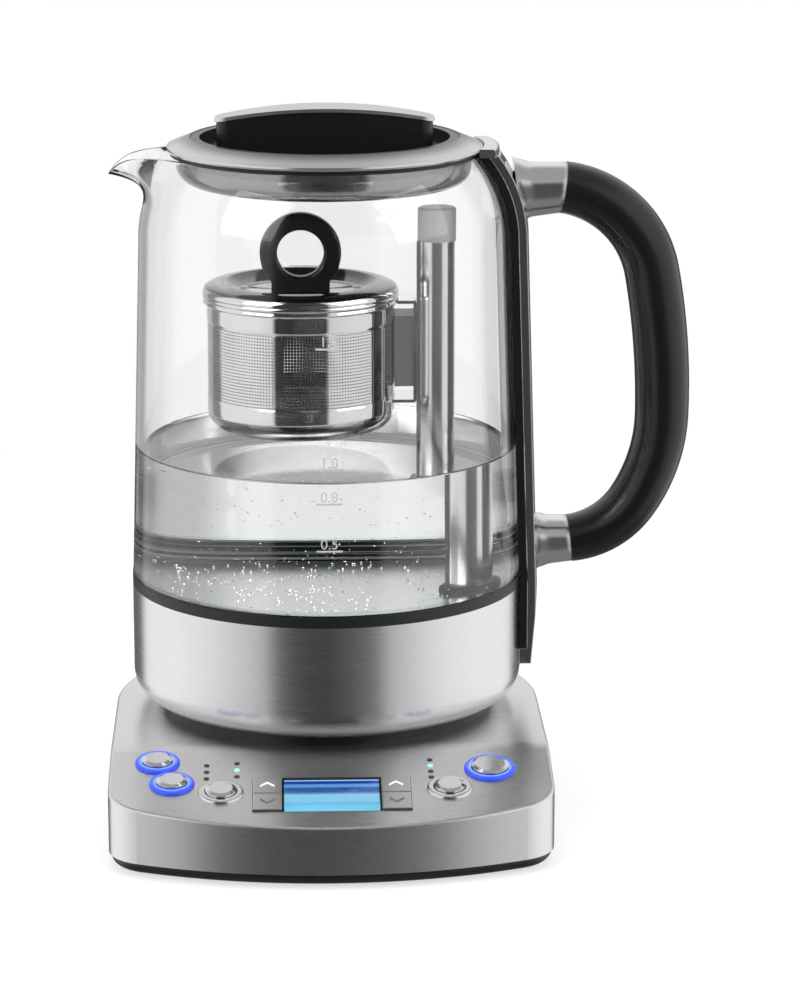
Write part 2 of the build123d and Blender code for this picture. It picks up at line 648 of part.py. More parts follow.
def make_jug_contact_pin():
    pin = disc(PIN_R, GROOVE_FLOOR, JUG_PLATE_Z)
    return chamfer(pin.edges().sort_by(Axis.Z)[0], PIN_R / 2)


def make_jug_foot():
    """Black underside: bottom plate, foot ring and the collar that carries the connector."""
    foot = ring(JUG_FOOT_R, JUG_FOOT_R - JUG_FOOT_WIDTH, BASE_TOP, BAND_LOW + SHEET)
    bore = SOCKET_BODY_R + SEAT_GAP
    plate = ring(JUG_R - BAND_CORNER_R, bore, BAND_LOW + SHEET, BAND_LOW + SHEET + CARRIER_THICK)
    return foot + plate + ring(bore + TRAY_LIP_WALL, bore, BAND_LOW + SHEET, JUG_PLATE_Z)


def band_volume(inset):
    """Solid of the steel band with a round lower corner."""
    low, outer = BAND_LOW + inset, JUG_R - inset
    face = Plane.XZ * make_face(Polyline((0, low), (outer, low), (outer, SEAM_Z), (0, SEAM_Z), close=True))
    corner = [v for v in face.vertices() if v.X > outer - 1 and v.Z < low + 1]
    return revolve(fillet(corner, BAND_CORNER_R - inset), Axis.Z)


def make_jug_band():
    return band_volume(0) - band_volume(SHEET) - disc(JUG_FOOT_R + GLUE_GAP, BAND_LOW - 1, BAND_LOW + 1)


def make_heater_plate():
    outer = JUG_R - SHEET
    skirt = ring(outer, outer - SHEET, PLATE_UNDER - PLATE_SKIRT, PLATE_UNDER)
    plate = disc(outer, PLATE_UNDER, PLATE_TOP) + skirt
    return plate - disc(POST_R, PLATE_UNDER, PLATE_TOP, POST_X)


def make_heating_element():
    """Open tubular ring brazed under the plate, with its gap and terminals beside the lift."""
    z = PLATE_UNDER - ELEMENT_TUBE_R
    start = (360 - ELEMENT_SWEEP) / 2
    section = Plane.XZ * Pos(ELEMENT_R, z) * Circle(ELEMENT_TUBE_R)
    tube = Rot(0, 0, start) * revolve(section, Axis.Z, ELEMENT_SWEEP)
    for angle in (start + TERMINAL_TURN, -start - TERMINAL_TURN):
        x, y = ELEMENT_R * math.cos(math.radians(angle)), ELEMENT_R * math.sin(math.radians(angle))
        tube += disc(ELEMENT_TUBE_R / 2, z - TERMINAL_LENGTH, z, x, y)
    return tube


def make_temperature_sensor():
    body = disc(SENSOR_R, PLATE_UNDER - SENSOR_HEIGHT, PLATE_UNDER, 0, -SENSOR_Y)
    return body + disc(SENSOR_R / 2, PLATE_UNDER - 2 * SENSOR_HEIGHT, PLATE_UNDER, 0, -SENSOR_Y)


def make_jug_thermostat():
    """Thermal cut-out block that stands on the jug's connector."""
    low = JUG_PLATE_Z + CARRIER_THICK
    side = THERMOSTAT_SIDE
    case = block(-side, side, -side, side, low, low + THERMOSTAT_HEIGHT)
    return fillet(case.edges().filter_by(Axis.Z), THERMOSTAT_CORNER_R)


def make_glass_seal():
    inner = GLASS_FOOT_R - GLASS_WALL
    liner_r = JUG_R - SHEET
    return turned(
        (inner, PLATE_TOP), (liner_r, PLATE_TOP), (liner_r, SEAM_Z),
        (JUG_R, SEAM_Z), (JUG_R, SEAL_TOP), (inner, SEAL_TOP),
    )


def side_radius(shift, z):
    """Outside radius of the jug's side at height z, moved outwards by shift."""
    if z > SHOULDER_Z:
        return SHOULDER_CENTRE_X + math.sqrt((SHOULDER_ARC + shift) ** 2 - (z - SHOULDER_Z) ** 2)
    share = (z - SEAM_Z) / (SHOULDER_Z - SEAM_Z)
    return shift + (1 - share) * JUG_R + share * SHOULDER_R if share > 0 else JUG_R + shift


def side_volume(shift, low, high, foot_r=JUG_R, foot_z=SEAM_Z):
    """Solid inside the jug's side line moved by shift: straight wall, then the round shoulder."""
    arc_r = SHOULDER_ARC + shift
    end_angle = math.asin((high - SHOULDER_Z) / arc_r)

    def shoulder(angle):
        return SHOULDER_CENTRE_X + arc_r * math.cos(angle), SHOULDER_Z + arc_r * math.sin(angle)

    top = shoulder(end_angle)
    foot = [(foot_r + shift, low)] + ([(foot_r + shift, foot_z)] if foot_z > low else [])
    wall = Polyline((0, high), (0, low), *foot, shoulder(0))
    arc = ThreePointArc(shoulder(0), shoulder(end_angle / 2), top)
    return revolve(Plane.XZ * make_face([*wall.edges(), arc, Line(top, (0, high))]), Axis.Z)


def spout_section(z, wall):
    """Level cut through the spout, wall inside its outer face: a wedge with a rounded nose."""
    share = (z - SPOUT_ROOT_Z) / (SPOUT_TIP_Z - SPOUT_ROOT_Z)
    nose = SPOUT_ROOT_R + (SPOUT_TIP - SPOUT_ROOT_R) * share ** 2
    half = math.radians(SPOUT_HALF_ANGLE)
    apex = nose + SPOUT_NOSE_R * (1 / math.sin(half) - 1)
    back = SHOULDER_R / 2
    spread = (apex - back) * math.tan(half)
    face = make_face(Polyline((-apex, 0), (-back, spread), (-back, -spread), close=True))
    face = fillet(face.vertices().sort_by(Axis.X)[0], SPOUT_NOSE_R)
    return offset(face, -wall) if wall else face


def spout_volume(wall=0.0, lift=0.0):
    """Spout that flares out of the shoulder in a hollow curve and then stands up to the rim."""
    climb = SPOUT_TIP_Z - SPOUT_ROOT_Z
    heights = [SPOUT_ROOT_Z + climb * i / (SPOUT_STATIONS - 1) for i in range(SPOUT_STATIONS)]
    flare = loft([Pos(0, 0, z + lift) * spout_section(z, wall) for z in heights])
    tip = Pos(0, 0, SPOUT_TIP_Z + lift) * spout_section(SPOUT_TIP_Z, wall)
    return flare + extrude(tip, SPOUT_TIP_DROP)


def above_spout():
    """Everything above the spout's lip, which runs level and then curves down to the tip."""
    start = (-RIM_R, RIM_Z)
    tip = (-SPOUT_TIP, SPOUT_TIP_Z)
    lip = TangentArc(start, tip, tangent=(-1, 0))
    far = (-SPOUT_TIP - SPOUT_REACH, SPOUT_TIP_Z)
    high = RIM_Z + SPOUT_TIP_DROP
    edge = Polyline(tip, far, (far[0], high), (start[0], high), start)
    return extrude(Plane.XZ * make_face([lip, *edge.edges()]), JUG_R, both=True)


def make_glass_body():
    """Blown jug: straight flared wall, round shoulder, bored neck and pulled spout."""
    outer = side_volume(0, SEAL_TOP, RIM_Z, GLASS_FOOT_R, SEAL_TOP)
    inner = side_volume(-GLASS_WALL, SEAL_TOP, RIM_Z, GLASS_FOOT_R, SEAL_TOP)
    glass = outer + spout_volume() - inner - disc(NECK_R, SHOULDER_Z, RIM_Z)
    glass = glass - spout_volume(SPOUT_WALL, SPOUT_FLOOR) - above_spout()
    return glass - disc(2 * JUG_R, RIM_Z, RIM_Z + SPOUT_TIP_DROP)


def strap(width, low, high):
    """Slot-shaped space on the handle side, for pieces cut from the jug's side shells."""
    return block(SHOULDER_CENTRE_X, 2 * JUG_R, -width / 2, width / 2, low, high)


def make_spine_liner():
    low = SPINE_LOW + SPINE_TOE
    shell = side_volume(LINER_FACE, low, STRAP_TOP) - side_volume(GLUE_GAP, low, STRAP_TOP)
    return shell & strap(SPINE_WIDTH, low, STRAP_TOP)


def make_spine():
    """Outer strap with a toe under the liner, tapered towards its lower tip."""
    shell = side_volume(SPINE_FACE, SPINE_LOW, STRAP_TOP) - side_volume(GLUE_GAP, SPINE_LOW, STRAP_TOP)
    spine = (shell & strap(SPINE_WIDTH, SPINE_LOW, STRAP_TOP)) - make_spine_liner()
    tip = JUG_R + GLUE_GAP + SPINE_TIP_THICK
    face = JUG_R + SPINE_FACE
    rise = SPINE_TAPER_Z - SPINE_LOW
    past_tip = tip - (face - tip) * SPINE_TOE / rise
    low, past_face = SPINE_LOW - SPINE_TOE, face + SHEET
    wedge = Polyline(
        (past_tip, low), (face, SPINE_TAPER_Z), (past_face, SPINE_TAPER_Z), (past_face, low), close=True
    )
    return spine - extrude(Plane.XZ * make_face(wedge), SPINE_WIDTH, both=True)


def make_spine_cap():
    """Steel cap that closes the spine's upper end beside the lid."""
    cap = ring(CAP_OUTER_R, LID_R + SEAT_GAP, STRAP_TOP, CAP_TOP)
    cap = cap & block(0, 2 * JUG_R, -CAP_WIDTH / 2, CAP_WIDTH / 2, STRAP_TOP, CAP_TOP)
    edge = cap.edges().group_by(Axis.Z)[-1].filter_by(GeomType.CIRCLE).sort_by(SortBy.RADIUS)[-1]
    return fillet(edge, CAP_EDGE_R)


def grip_path():
    """Middle line of the D-shaped grip: four arcs, each tangent to the one before."""
    stops = [Vector(JUG_R + x, 0, RIM_Z - drop) for x, drop in (GRIP_TOP, GRIP_SHOULDER)]
    stops += [Vector(JUG_R + x, 0, SEAM_Z + rise) for x, rise in (GRIP_WAIST, GRIP_HEEL, GRIP_LOW)]
    drop = math.radians(GRIP_TOP_DROP)
    heading = Vector(math.cos(drop), 0, -math.sin(drop))
    arcs = []
    for start, end in zip(stops, stops[1:]):
        arcs.append(TangentArc(start, end, tangent=heading))
        heading = arcs[-1] % 1
    return Wire([arc.edge() for arc in arcs])


def grip_plane(along):
    """Plane across the grip's middle line, at a share of its length."""
    path = grip_path()
    return Plane(origin=path @ along, x_dir=(0, 1, 0), z_dir=path % along)


def make_handle_grip():
    depths = (GRIP_TOP_DEPTH, GRIP_DEPTH, GRIP_LOW_DEPTH)
    sections = [grip_plane(i / 2) * Ellipse(GRIP_WIDTH / 2, depth / 2) for i, depth in enumerate(depths)]
    return sweep(sections, path=grip_path(), multisection=True)


def handle_bracket(along, depth):
    """Chrome stub from one end of the grip (0 upper, 1 lower) to the spine, flared at the spine."""
    path = grip_path()
    end = path @ along
    inward = path % along * (1 if along else -1)
    lean = math.radians(BRACKET_RISE)
    axis = Plane(origin=end, x_dir=(0, 1, 0), z_dir=(-math.cos(lean), 0, -math.sin(lean)))
    run = end.X - side_radius(SPINE_FACE, end.Z)
    a, b = GRIP_WIDTH / 2 - BRACKET_STEP, depth / 2 - BRACKET_STEP
    joint = Plane(origin=end, x_dir=(0, 1, 0), z_dir=inward) * Ellipse(a, b)
    a, b = a + BRACKET_TAPER, b + BRACKET_TAPER
    neck = axis * Pos(0, 0, run - BRACKET_FLARE_LENGTH) * Ellipse(a, b)
    a, b = a + BRACKET_FLARE / 2, b + BRACKET_FLARE
    root = axis * Pos(0, 0, run + BRACKET_FLARE) * Ellipse(a, b)
    stub = loft([joint, neck], ruled=True) + loft([neck, root], ruled=True)
    return stub - side_volume(SPINE_FACE, SPINE_LOW, CAP_TOP)


def make_guide_post():
    """Sealed steel tube with the rail that keeps the basket from turning."""
    low = PLATE_TOP + RAIL_START
    rail = block(RAIL_FACE_X, POST_X, -RAIL_WIDTH / 2, RAIL_WIDTH / 2, low, POST_TOP)
    bore = disc(POST_R - POST_WALL, POST_LOW, POST_TOP, POST_X)
    return disc(POST_R, POST_LOW, POST_TOP, POST_X) + rail - bore


def make_post_cap():
    cap = disc(POST_CAP_R, POST_TOP, POST_TOP + POST_CAP_HEIGHT, POST_X)
    cap = fillet(cap.edges().sort_by(Axis.Z)[-1], CAP_EDGE_R)
    plug = disc(POST_R - POST_WALL - SHAFT_GAP, POST_TOP - PLUG_LENGTH, POST_TOP, POST_X)
    return cap + plug - disc(SCREW_R + SHAFT_GAP, POST_TOP - PLUG_LENGTH, SCREW_TOP + SEAT_GAP, POST_X)


def make_post_seal():
    seal = ring(POST_R + POST_SEAL_WIDTH, POST_R, PLATE_TOP, PLATE_TOP + RAIL_START - SEAT_GAP, POST_X)
    return chamfer(seal.edges().group_by(Axis.Z)[-1].sort_by(SortBy.RADIUS)[-1], POST_SEAL_BEVEL)


def make_lift_motor():
    """Geared motor under the heater plate; its socket drives the lead screw."""
    body = disc(MOTOR_R, POST_LOW - MOTOR_HEIGHT, POST_LOW, POST_X)
    return body - disc(SCREW_R + SHAFT_GAP, SCREW_LOW, POST_LOW, POST_X)


def make_lead_screw():
    return disc(SCREW_R, SCREW_LOW + SHAFT_GAP, SCREW_TOP, POST_X)


def make_magnet_carriage():
    outer = POST_R - POST_WALL - SEAT_GAP
    middle = (BRACKET_LOW + BRACKET_TOP) / 2
    half = MAGNET_LENGTH / 2
    return ring(outer, SCREW_R + SHAFT_GAP, middle - half, middle + half, POST_X)


def make_lid_ring():
    """Satin ring round the lid, dished down to a thin outer edge."""
    edge = LID_UNDER + LID_EDGE_HEIGHT / 2
    return turned(
        (LID_RING_INNER_R, LID_UNDER), (LID_R - SEAT_GAP, LID_UNDER), (LID_R, edge),
        (LID_R - SEAT_GAP, LID_EDGE_TOP), (LID_RING_INNER_R, LID_RING_TOP),
    )


def make_lid_dish():
    """Black finger dish with a raised rim and a rounded floor."""
    low, high = DISH_FLOOR - DISH_WALL, LID_RING_TOP - GLUE_GAP
    wall_in = DISH_R - DISH_RIM_WIDTH
    bowl = disc(wall_in, low, high)
    bowl = fillet(bowl.edges().sort_by(Axis.Z)[0], DISH_CORNER_R)
    hollow = disc(wall_in - DISH_WALL, DISH_FLOOR, high)
    hollow = fillet(hollow.edges().sort_by(Axis.Z)[0], DISH_CORNER_R - DISH_WALL)
    return bowl - hollow + ring(DISH_R, wall_in, LID_UNDER, high)


def trim_arch(radius_drop):
    """Space under the arched top line of the lid's grip, lowered by radius_drop."""
    radius = (LID_GRIP_HALF ** 2 + TRIM_FALL ** 2) / (2 * TRIM_FALL)
    centre_z = TRIM_CENTRE_Z - radius
    return Pos(0, 0, centre_z) * Rot(90, 0, 0) * extrude(Circle(radius - radius_drop), LID_R, both=True)


def grip_plan(margin):
    """Plan of the lid's grip: bowed long sides and narrower rounded ends."""
    length, width = LID_GRIP_HALF + margin, LID_GRIP_WIDTH / 2 + margin
    end = width - GRIP_END_TAPER
    near = ThreePointArc((-length, -end), (0, -width), (length, -end))
    far = ThreePointArc((length, end), (0, width), (-length, end))
    sides = [Line((length, -end), (length, end)), Line((-length, end), (-length, -end))]
    face = make_face([near, far, *sides])
    return fillet(face.vertices(), LID_GRIP_END_R)


def make_lid_grip():
    body = Pos(0, 0, DISH_FLOOR) * extrude(grip_plan(0), TRIM_CENTRE_Z - DISH_FLOOR)
    return body & trim_arch(TRIM_THICK)


def make_lid_grip_trim():
    plate = Pos(0, 0, DISH_FLOOR) * extrude(grip_plan(TRIM_OVERHANG), TRIM_CENTRE_Z - DISH_FLOOR + 1)
    return (plate & trim_arch(0)) - trim_arch(TRIM_THICK)


def make_lid_skirt():
    """Steel bowl under the lid that plugs the jug's neck."""
    bowl = disc(SKIRT_R, SKIRT_LOW, LID_UNDER)
    bowl = fillet(bowl.edges().sort_by(Axis.Z)[0], SKIRT_CORNER_R)
    hollow = disc(SKIRT_R - SHEET, SKIRT_LOW + SHEET, LID_UNDER)
    return bowl - fillet(hollow.edges().sort_by(Axis.Z)[0], SKIRT_CORNER_R - SHEET)


def make_lid_seal():
    return ring(NECK_R + GLASS_WALL - SEAT_GAP, SKIRT_R, RIM_Z, LID_UNDER)


def basket_volume(inset):
    """Solid of the tea basket with a round lower corner."""
    body = disc(BASKET_R - inset, BASKET_LOW + inset, BASKET_TOP, BASKET_X)
    return fillet(body.edges().sort_by(Axis.Z)[0], BASKET_CORNER_R - inset)


def make_basket_cup():
    rim = ring(BASKET_RIM_R, BASKET_R - BASKET_WALL, BASKET_TOP - BASKET_RIM_HEIGHT, BASKET_TOP, BASKET_X)
    rolled = [e for e in rim.edges().filter_by(GeomType.CIRCLE) if e.radius > BASKET_R]
    rim = fillet(rolled, BASKET_EDGE_R)
    screen = ring(BASKET_RIM_R, BASKET_R - SCREEN_RELIEF, SCREEN_LOW, SCREEN_TOP, BASKET_X)
    return basket_volume(0) + rim - screen - basket_volume(BASKET_WALL)


def make_basket_bracket():
    """Box-shaped hanger between the basket and the guide post, open towards the front."""
    half = BRACKET_WIDTH / 2
    outer = block(BASKET_X, BRACKET_FACE_X, -half, half, BRACKET_LOW, BRACKET_TOP)
    outer = fillet(outer.edges().filter_by(Axis.Y).sort_by(Axis.X)[-2:], BRACKET_WALL)
    wall = BRACKET_WALL
    hollow = block(BASKET_X, BRACKET_FACE_X - wall, -half, half, BRACKET_LOW + wall, BRACKET_TOP - wall)
    rim = disc(BASKET_RIM_R, BASKET_TOP - BASKET_RIM_HEIGHT, BASKET_TOP, BASKET_X)
    return outer - hollow - basket_volume(0) - rim


def make_basket_magnet():
    """Cased magnet that fills the hanger between the basket's wall and the guide post."""
    face = BRACKET_FACE_X - BRACKET_WALL
    middle = (BRACKET_LOW + BRACKET_TOP) / 2
    half_y, half_z = BRACKET_WIDTH / 2 - BRACKET_WALL, MAGNET_LENGTH / 2
    case = block(BASKET_X, face, -half_y, half_y, middle - half_z, middle + half_z)
    return case - basket_volume(-SEAT_GAP)


def make_basket_lid_plate():
    """Pressed lid: rolled outer edge, domed shoulder, recessed middle and a plug into the cup."""
    top = BASKET_LID_TOP
    floor = top - RECESS_DEPTH
    plug_r = BASKET_R - BASKET_WALL - SEAT_GAP
    edge = (BASKET_RIM_R, BASKET_TOP + SHEET)
    dome = TangentArc((RECESS_R, top), edge, tangent=(1, 0))
    pressed = Polyline((RECESS_R, top), (RECESS_R - RECESS_RUN, floor), (0, floor), (0, floor - SHEET))
    plug_in, plug_low = plug_r - SHEET, BASKET_TOP - PLUG_DEPTH
    under = Polyline((0, floor - SHEET), (plug_in, floor - SHEET), (plug_in, plug_low), (plug_r, plug_low))
    lip = Polyline((plug_r, plug_low), (plug_r, BASKET_TOP), (BASKET_RIM_R, BASKET_TOP), edge)
    outline = make_face([dome, *pressed.edges(), *under.edges(), *lip.edges()])
    return Pos(BASKET_X, 0, 0) * revolve(Plane.XZ * outline, Axis.Z)


def make_basket_lid_ring():
    """Upright finger ring on a broad stem."""
    floor = BASKET_LID_TOP - RECESS_DEPTH
    stem = Pos(0, (floor + RING_CENTRE_Z) / 2) * Rectangle(RING_STEM_WIDTH, RING_CENTRE_Z - floor)
    outline = Pos(0, RING_CENTRE_Z) * Circle(RING_R) + stem - Pos(0, RING_CENTRE_Z) * Circle(RING_HOLE_R)
    outline -= Pos(0, floor - RING_R) * Rectangle(2 * RING_R, 2 * RING_R)
    body = Pos(BASKET_X, 0, 0) * extrude(Plane.XZ * outline, RING_THICK / 2, both=True)
    rounds = [e for e in body.edges().filter_by(GeomType.CIRCLE) if e.length > RING_R]
    return fillet(rounds, RING_EDGE_R)


PARTS = {
    "base_cover": make_base_cover,
    "base_tray": make_base_tray,
    "base_feet": make_base_feet,
    "base_screws": make_base_screws,
    "panel_carrier": make_panel_carrier,
    "control_board": make_control_board,
    "panel_switches": make_panel_switches,
    "power_board": make_power_board,
    "power_relay": make_power_relay,
    "lcd_window": make_lcd_window,
    "lcd_module": make_lcd_module,
    "tea_leds": lambda: make_leds(tea_led_places()),
    "strength_leds": lambda: make_leds(strength_led_places()),
    "halo_rings": lambda: make_panel_rings(True),
    "button_bezels": lambda: make_panel_rings(False),
    "base_connector": make_base_connector,
    "connector_contacts": contact_ring,
    "connector_shutter": make_connector_shutter,
    "jug_connector": make_jug_connector,
    "jug_contact_pin": make_jug_contact_pin,
    "jug_thermostat": make_jug_thermostat,
    "jug_foot": make_jug_foot,
    "jug_band": make_jug_band,
    "heater_plate": make_heater_plate,
    "heating_element": make_heating_element,
    "temperature_sensor": make_temperature_sensor,
    "glass_seal": make_glass_seal,
    "glass_body": make_glass_body,
    "spine": make_spine,
    "spine_liner": make_spine_liner,
    "spine_cap": make_spine_cap,
    "handle_upper_bracket": lambda: handle_bracket(0, GRIP_TOP_DEPTH),
    "handle_lower_bracket": lambda: handle_bracket(1, GRIP_LOW_DEPTH),
    "handle_grip": make_handle_grip,
    "guide_post": make_guide_post,
    "post_cap": make_post_cap,
    "post_seal": make_post_seal,
    "lift_motor": make_lift_motor,
    "lead_screw": make_lead_screw,
    "magnet_carriage": make_magnet_carriage,
    "lid_ring": make_lid_ring,
    "lid_dish": make_lid_dish,
    "lid_grip": make_lid_grip,
    "lid_grip_trim": make_lid_grip_trim,
    "lid_skirt": make_lid_skirt,
    "lid_seal": make_lid_seal,
    "basket_cup": make_basket_cup,
    "basket_bracket": make_basket_bracket,
    "basket_magnet": make_basket_magnet,
    "basket_lid_plate": make_basket_lid_plate,
    "basket_lid_ring": make_basket_lid_ring,
}

for node, make in PARTS.items():
    export_step(make(), f"parts/{node}.step")
for name in BUTTONS:
    export_step(make_button(name), f"parts/button_{name}.step")
for name in KEYS:
    export_step(make_key(name), f"parts/key_{name}.step")
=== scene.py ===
import json
import math
import random

import bpy
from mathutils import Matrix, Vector


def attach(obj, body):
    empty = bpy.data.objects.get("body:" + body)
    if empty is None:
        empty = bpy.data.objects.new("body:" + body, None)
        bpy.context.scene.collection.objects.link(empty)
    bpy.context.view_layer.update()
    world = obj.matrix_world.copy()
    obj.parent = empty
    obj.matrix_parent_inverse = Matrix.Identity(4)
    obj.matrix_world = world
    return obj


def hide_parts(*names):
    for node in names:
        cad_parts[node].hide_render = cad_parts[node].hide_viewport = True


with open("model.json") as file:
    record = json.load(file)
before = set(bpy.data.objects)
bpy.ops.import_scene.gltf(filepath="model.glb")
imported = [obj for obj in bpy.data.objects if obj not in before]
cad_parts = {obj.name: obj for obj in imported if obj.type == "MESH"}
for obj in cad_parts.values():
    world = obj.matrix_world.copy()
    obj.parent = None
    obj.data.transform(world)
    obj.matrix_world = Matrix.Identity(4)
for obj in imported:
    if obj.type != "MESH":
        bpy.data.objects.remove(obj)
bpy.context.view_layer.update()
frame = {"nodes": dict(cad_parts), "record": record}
NODES = frame["nodes"]

# Camera, solved for the photograph's view
CAMERA_PLACE = (-0.01992, -1.37827, 0.44925)
CAMERA_PITCH = 76.316
CAMERA_YAW = -2.0
CAMERA_LENS = 166.5
SENSOR_WIDTH = 36.0

# Grey levels of the studio round the object, by degrees of azimuth from the camera's side
STUDIO = (                  # near the horizon, as metal sees it
    (-180, 0.9), (-177, 0.9), (-171, 0.12), (-145, 0.1), (-137, 0.95), (-100, 0.97), (-75, 0.86),
    (-60, 0.72), (-47, 0.6), (-38, 0.48), (-30, 0.12), (-18, 0.06), (0, 0.05), (15, 0.1), (28, 0.17),
    (37, 0.5), (47, 0.6), (60, 0.78), (75, 0.9), (100, 0.97), (137, 0.95), (145, 0.1), (171, 0.12),
    (177, 0.9), (180, 0.9),
)
SKY = (                     # above it, as metal sees it
    (-180, 0.88), (-160, 0.8), (-140, 0.75), (-100, 0.9), (-45, 0.92), (0, 0.95), (45, 0.92), (100, 0.9),
    (140, 0.75), (160, 0.8), (180, 0.88),
)
FRONT_FLAG = (              # share of the sky that a dark card in front cuts off
    (-180, 0.0), (-36, 0.0), (-26, 1.0), (26, 1.0), (38, 0.0), (180, 0.0),
)
THROUGH_GLASS = (           # what glass mirrors on its way through
    (-180, 1.0), (-168, 1.0), (-158, 0.55), (-142, 0.5), (-136, 0.22), (-120, 0.2), (-113, 0.9), (-60, 0.92),
    (-36, 0.85), (-31, 0.05), (0, 0.025), (30, 0.05), (35, 0.8), (60, 0.92), (113, 0.9), (120, 0.2),
    (136, 0.22), (142, 0.5), (158, 0.55), (168, 1.0), (180, 1.0),
)
CLEAR_VIEW = (              # what glass shows without mirroring
    (-180, 1.0), (-168, 1.0), (-158, 0.55), (-142, 0.5), (-136, 0.22), (-120, 0.2), (-113, 0.9), (-60, 0.93),
    (0, 0.96), (60, 0.93), (113, 0.9), (120, 0.2), (136, 0.22), (142, 0.5), (158, 0.55), (168, 1.0),
    (180, 1.0),
)
ZENITH = 0.36
GROUND = 0.2                # below the horizon, as metal sees it
GROUND_THROUGH = 0.5        # and as glass shows it
AMBIENT = 0.8               # what matt surfaces gather

# Heights of the direction looked in over which one of those levels gives way to another
HORIZON_BLEND = (0.02, 0.2)
ZENITH_BLEND = (0.62, 0.88)
FLAG_BLEND = (0.66, 0.85)
GROUND_BLEND = (-0.75, -0.5)

# Floor and lamps, in metres and watts
FLOOR_HALF = 6.0
FLOOR_WHITE = 0.9
FLOOR_GLOW = 0.65           # share of plain white beside the object, all of it further out
FLOOR_FADE = (0.15, 0.6)
LAMP_TARGET = (0.0, 0.0, 0.12)
LAMPS = (
    ("light_left", (-0.9, -0.7, 0.9), 0.9, 9.0),
    ("light_right", (1.0, -0.5, 0.8), 0.9, 7.0),
    ("light_top", (0.0, 0.1, 1.3), 1.0, 9.0),
)

# Surface textures, in metres and per metre
GRAIN_SCALE = 2500.0        # brush lines
GRAIN_DEPTH = 0.00001
SMUDGE_SCALE = 90.0         # on polished metal
MOULD_SCALE = 600.0         # on plastic
LENS_SCALE = 500.0
WAVE_SCALE = 18.0           # on blown glass
WAVE_DEPTH = 0.0004
FLOW_AND_GLINT_SCALE = 900.0          # level lines in the jug's thick glass foot: bumped flow lines with painted glints along them
FLOW_DEPTH = 0.0006
SHARP_ANGLE = 35.0          # degrees between faces that meet in a visible edge

# Sizes in millimetres, as in the part's source
MM = 0.001                  # in metres
SHEET = 0.8
BASE_TOP = 34.5
RING_INNER_R = 50.0         # satin ring of the jug's lid
RING_OUTER_R = 57.5
PANEL_START = 65.0
PANEL_SLOPE = 10.5          # degrees
JUG_R = 74.5
SEAM_Z = 82.4               # top of the steel band
SHOULDER_Z = 215.0
GLASS_TAPER = 4.2           # fall in radius from the band to the shoulder
GLASS_WALL = 3.0
GLASS_STEP = 0.2            # the glass stands this much inside the band
SEAL_TOP = 86.5             # foot of the glass
SHOULDER_RISE = 31.8        # foot of the round shoulder to the rim
NECK_R = 55.3
RIM_WIDTH = 2.7
PLATE_TOP = 80.0
POST_X = 42.1
POST_R = 6.9
BASKET_X = -9.4
BASKET_R = 35.7
BASKET_WALL = 0.8
BASKET_TOP = 194.6
BASKET_LOW = 142.4
BASKET_CORNER_R = 8.0
BASKET_RIM_R = 37.2
BASKET_RIM_HEIGHT = 4.0
BASKET_LID_TOP = 198.4
SKIRT_LOW = 235.6
RECESS_R = 28.8
RECESS_RUN = 4.6
RECESS_DEPTH = 4.0
PLUG_DEPTH = 2.0
LCD_LENGTH = 35.4
LCD_DEPTH = 24.4
LCD_V = -37.0
KEY_WIDTH = 10.6
KEY_GAP = 0.4
KEY_PROUD = 0.9

# The pulled spout
SPOUT_LOW = 226.0           # height at which the wall begins to lean into it
SPOUT_OUTER = ((67.4, 232.5), (67.0, 236.2), (81.2, 239.2))     # its underside, root to tip: radius, height
SPOUT_INNER = ((64.2, 232.8), (65.4, 238.2), (79.8, 240.7))     # its floor
SPOUT_SPREAD = (24.0, 13.0)     # its half width round the jug in degrees, at the root and at the lip
SPOUT_ROUNDNESS = 1.5       # how its plan falls away: 1 a point, 2 a bell
LIP_DIP = 4                 # how much narrower the dip in the rim is than the spout
SPOUT_REGION = 36.0         # degrees to each side in which the mesh is fine
FINE_STEP = 0.6
COARSE_STEP = 2.4

# The screen and the rim of the tea basket, and its lid
SCREEN_LOW = 155.5
SCREEN_TOP = 184.0
SCREEN_RELIEF = 0.3
SCREEN_COLUMNS = 192
SCREEN_ROWS = 24
SCREEN_HOLE_R = 0.33
SCREEN_SEAM = -104.7        # degrees, where the sheet's ends meet
SCREEN_SEAM_HALF = 2.7
BEAD_R = 0.8                # bead under the rim
ROLL_R = 1.15               # rolled edge of the rim
LID_PLUG_GAP = 0.3
LID_HOLES = 8
LID_HOLE_R = 0.9
LID_HOLE_PLACE_R = 18.0
LID_SHOULDER_SHADE = 0.2          # painted shade: how light the lid's shoulder is, and its recess
LID_RECESS_SHADE = 0.5

# Water, bubbles and printed marks
WATER_TOP = 135.2
WATER_OVERLAP = 0.3
MENISCUS = 1.2
MENISCUS_REACH = 3.0
FOOT_RISE = 8.0             # thick foot of the glass, up from the heater plate
FOOT_REACH = 7.0            # and in from the wall
FOOT_CLEAR = 0.05           # off the wall and the plate
FOOT_IOR = 1.11             # glass as water meets it
ROUND_STEPS = 192           # of the water and the glass foot
BUBBLE_SEED = 7
PLATE_BUBBLES = 420
WALL_BUBBLES = 560
FREE_BUBBLES = 240
BUBBLE_R = (0.18, 0.42)
SMALL_BUBBLE = 0.8          # size of those off the plate, against those on it
BUBBLE_HEIGHT = 0.9         # half height over radius
PLATE_REACH = 68.5          # radius within which bubbles sit on the plate
FREE_REACH = 66.0           # and rise
WALL_RISE = (3.0, 8.0, 2.2)     # lowest above the plate, height left free, crowding towards the plate
FREE_RISE = (2.0, 6.0, 1.8)
WALL_TOUCH = 0.6            # middle of a bubble on the glass to the glass, over its radius
POST_CLEAR = 4.0            # bubbles to the guide post
MARKS = (("1.7", 185.5), ("1.0", 141.1), ("0.8", 128.4), ("0.5", 110.9))
MARK_SIZE = 5.4
MARK_GAP = 1.2
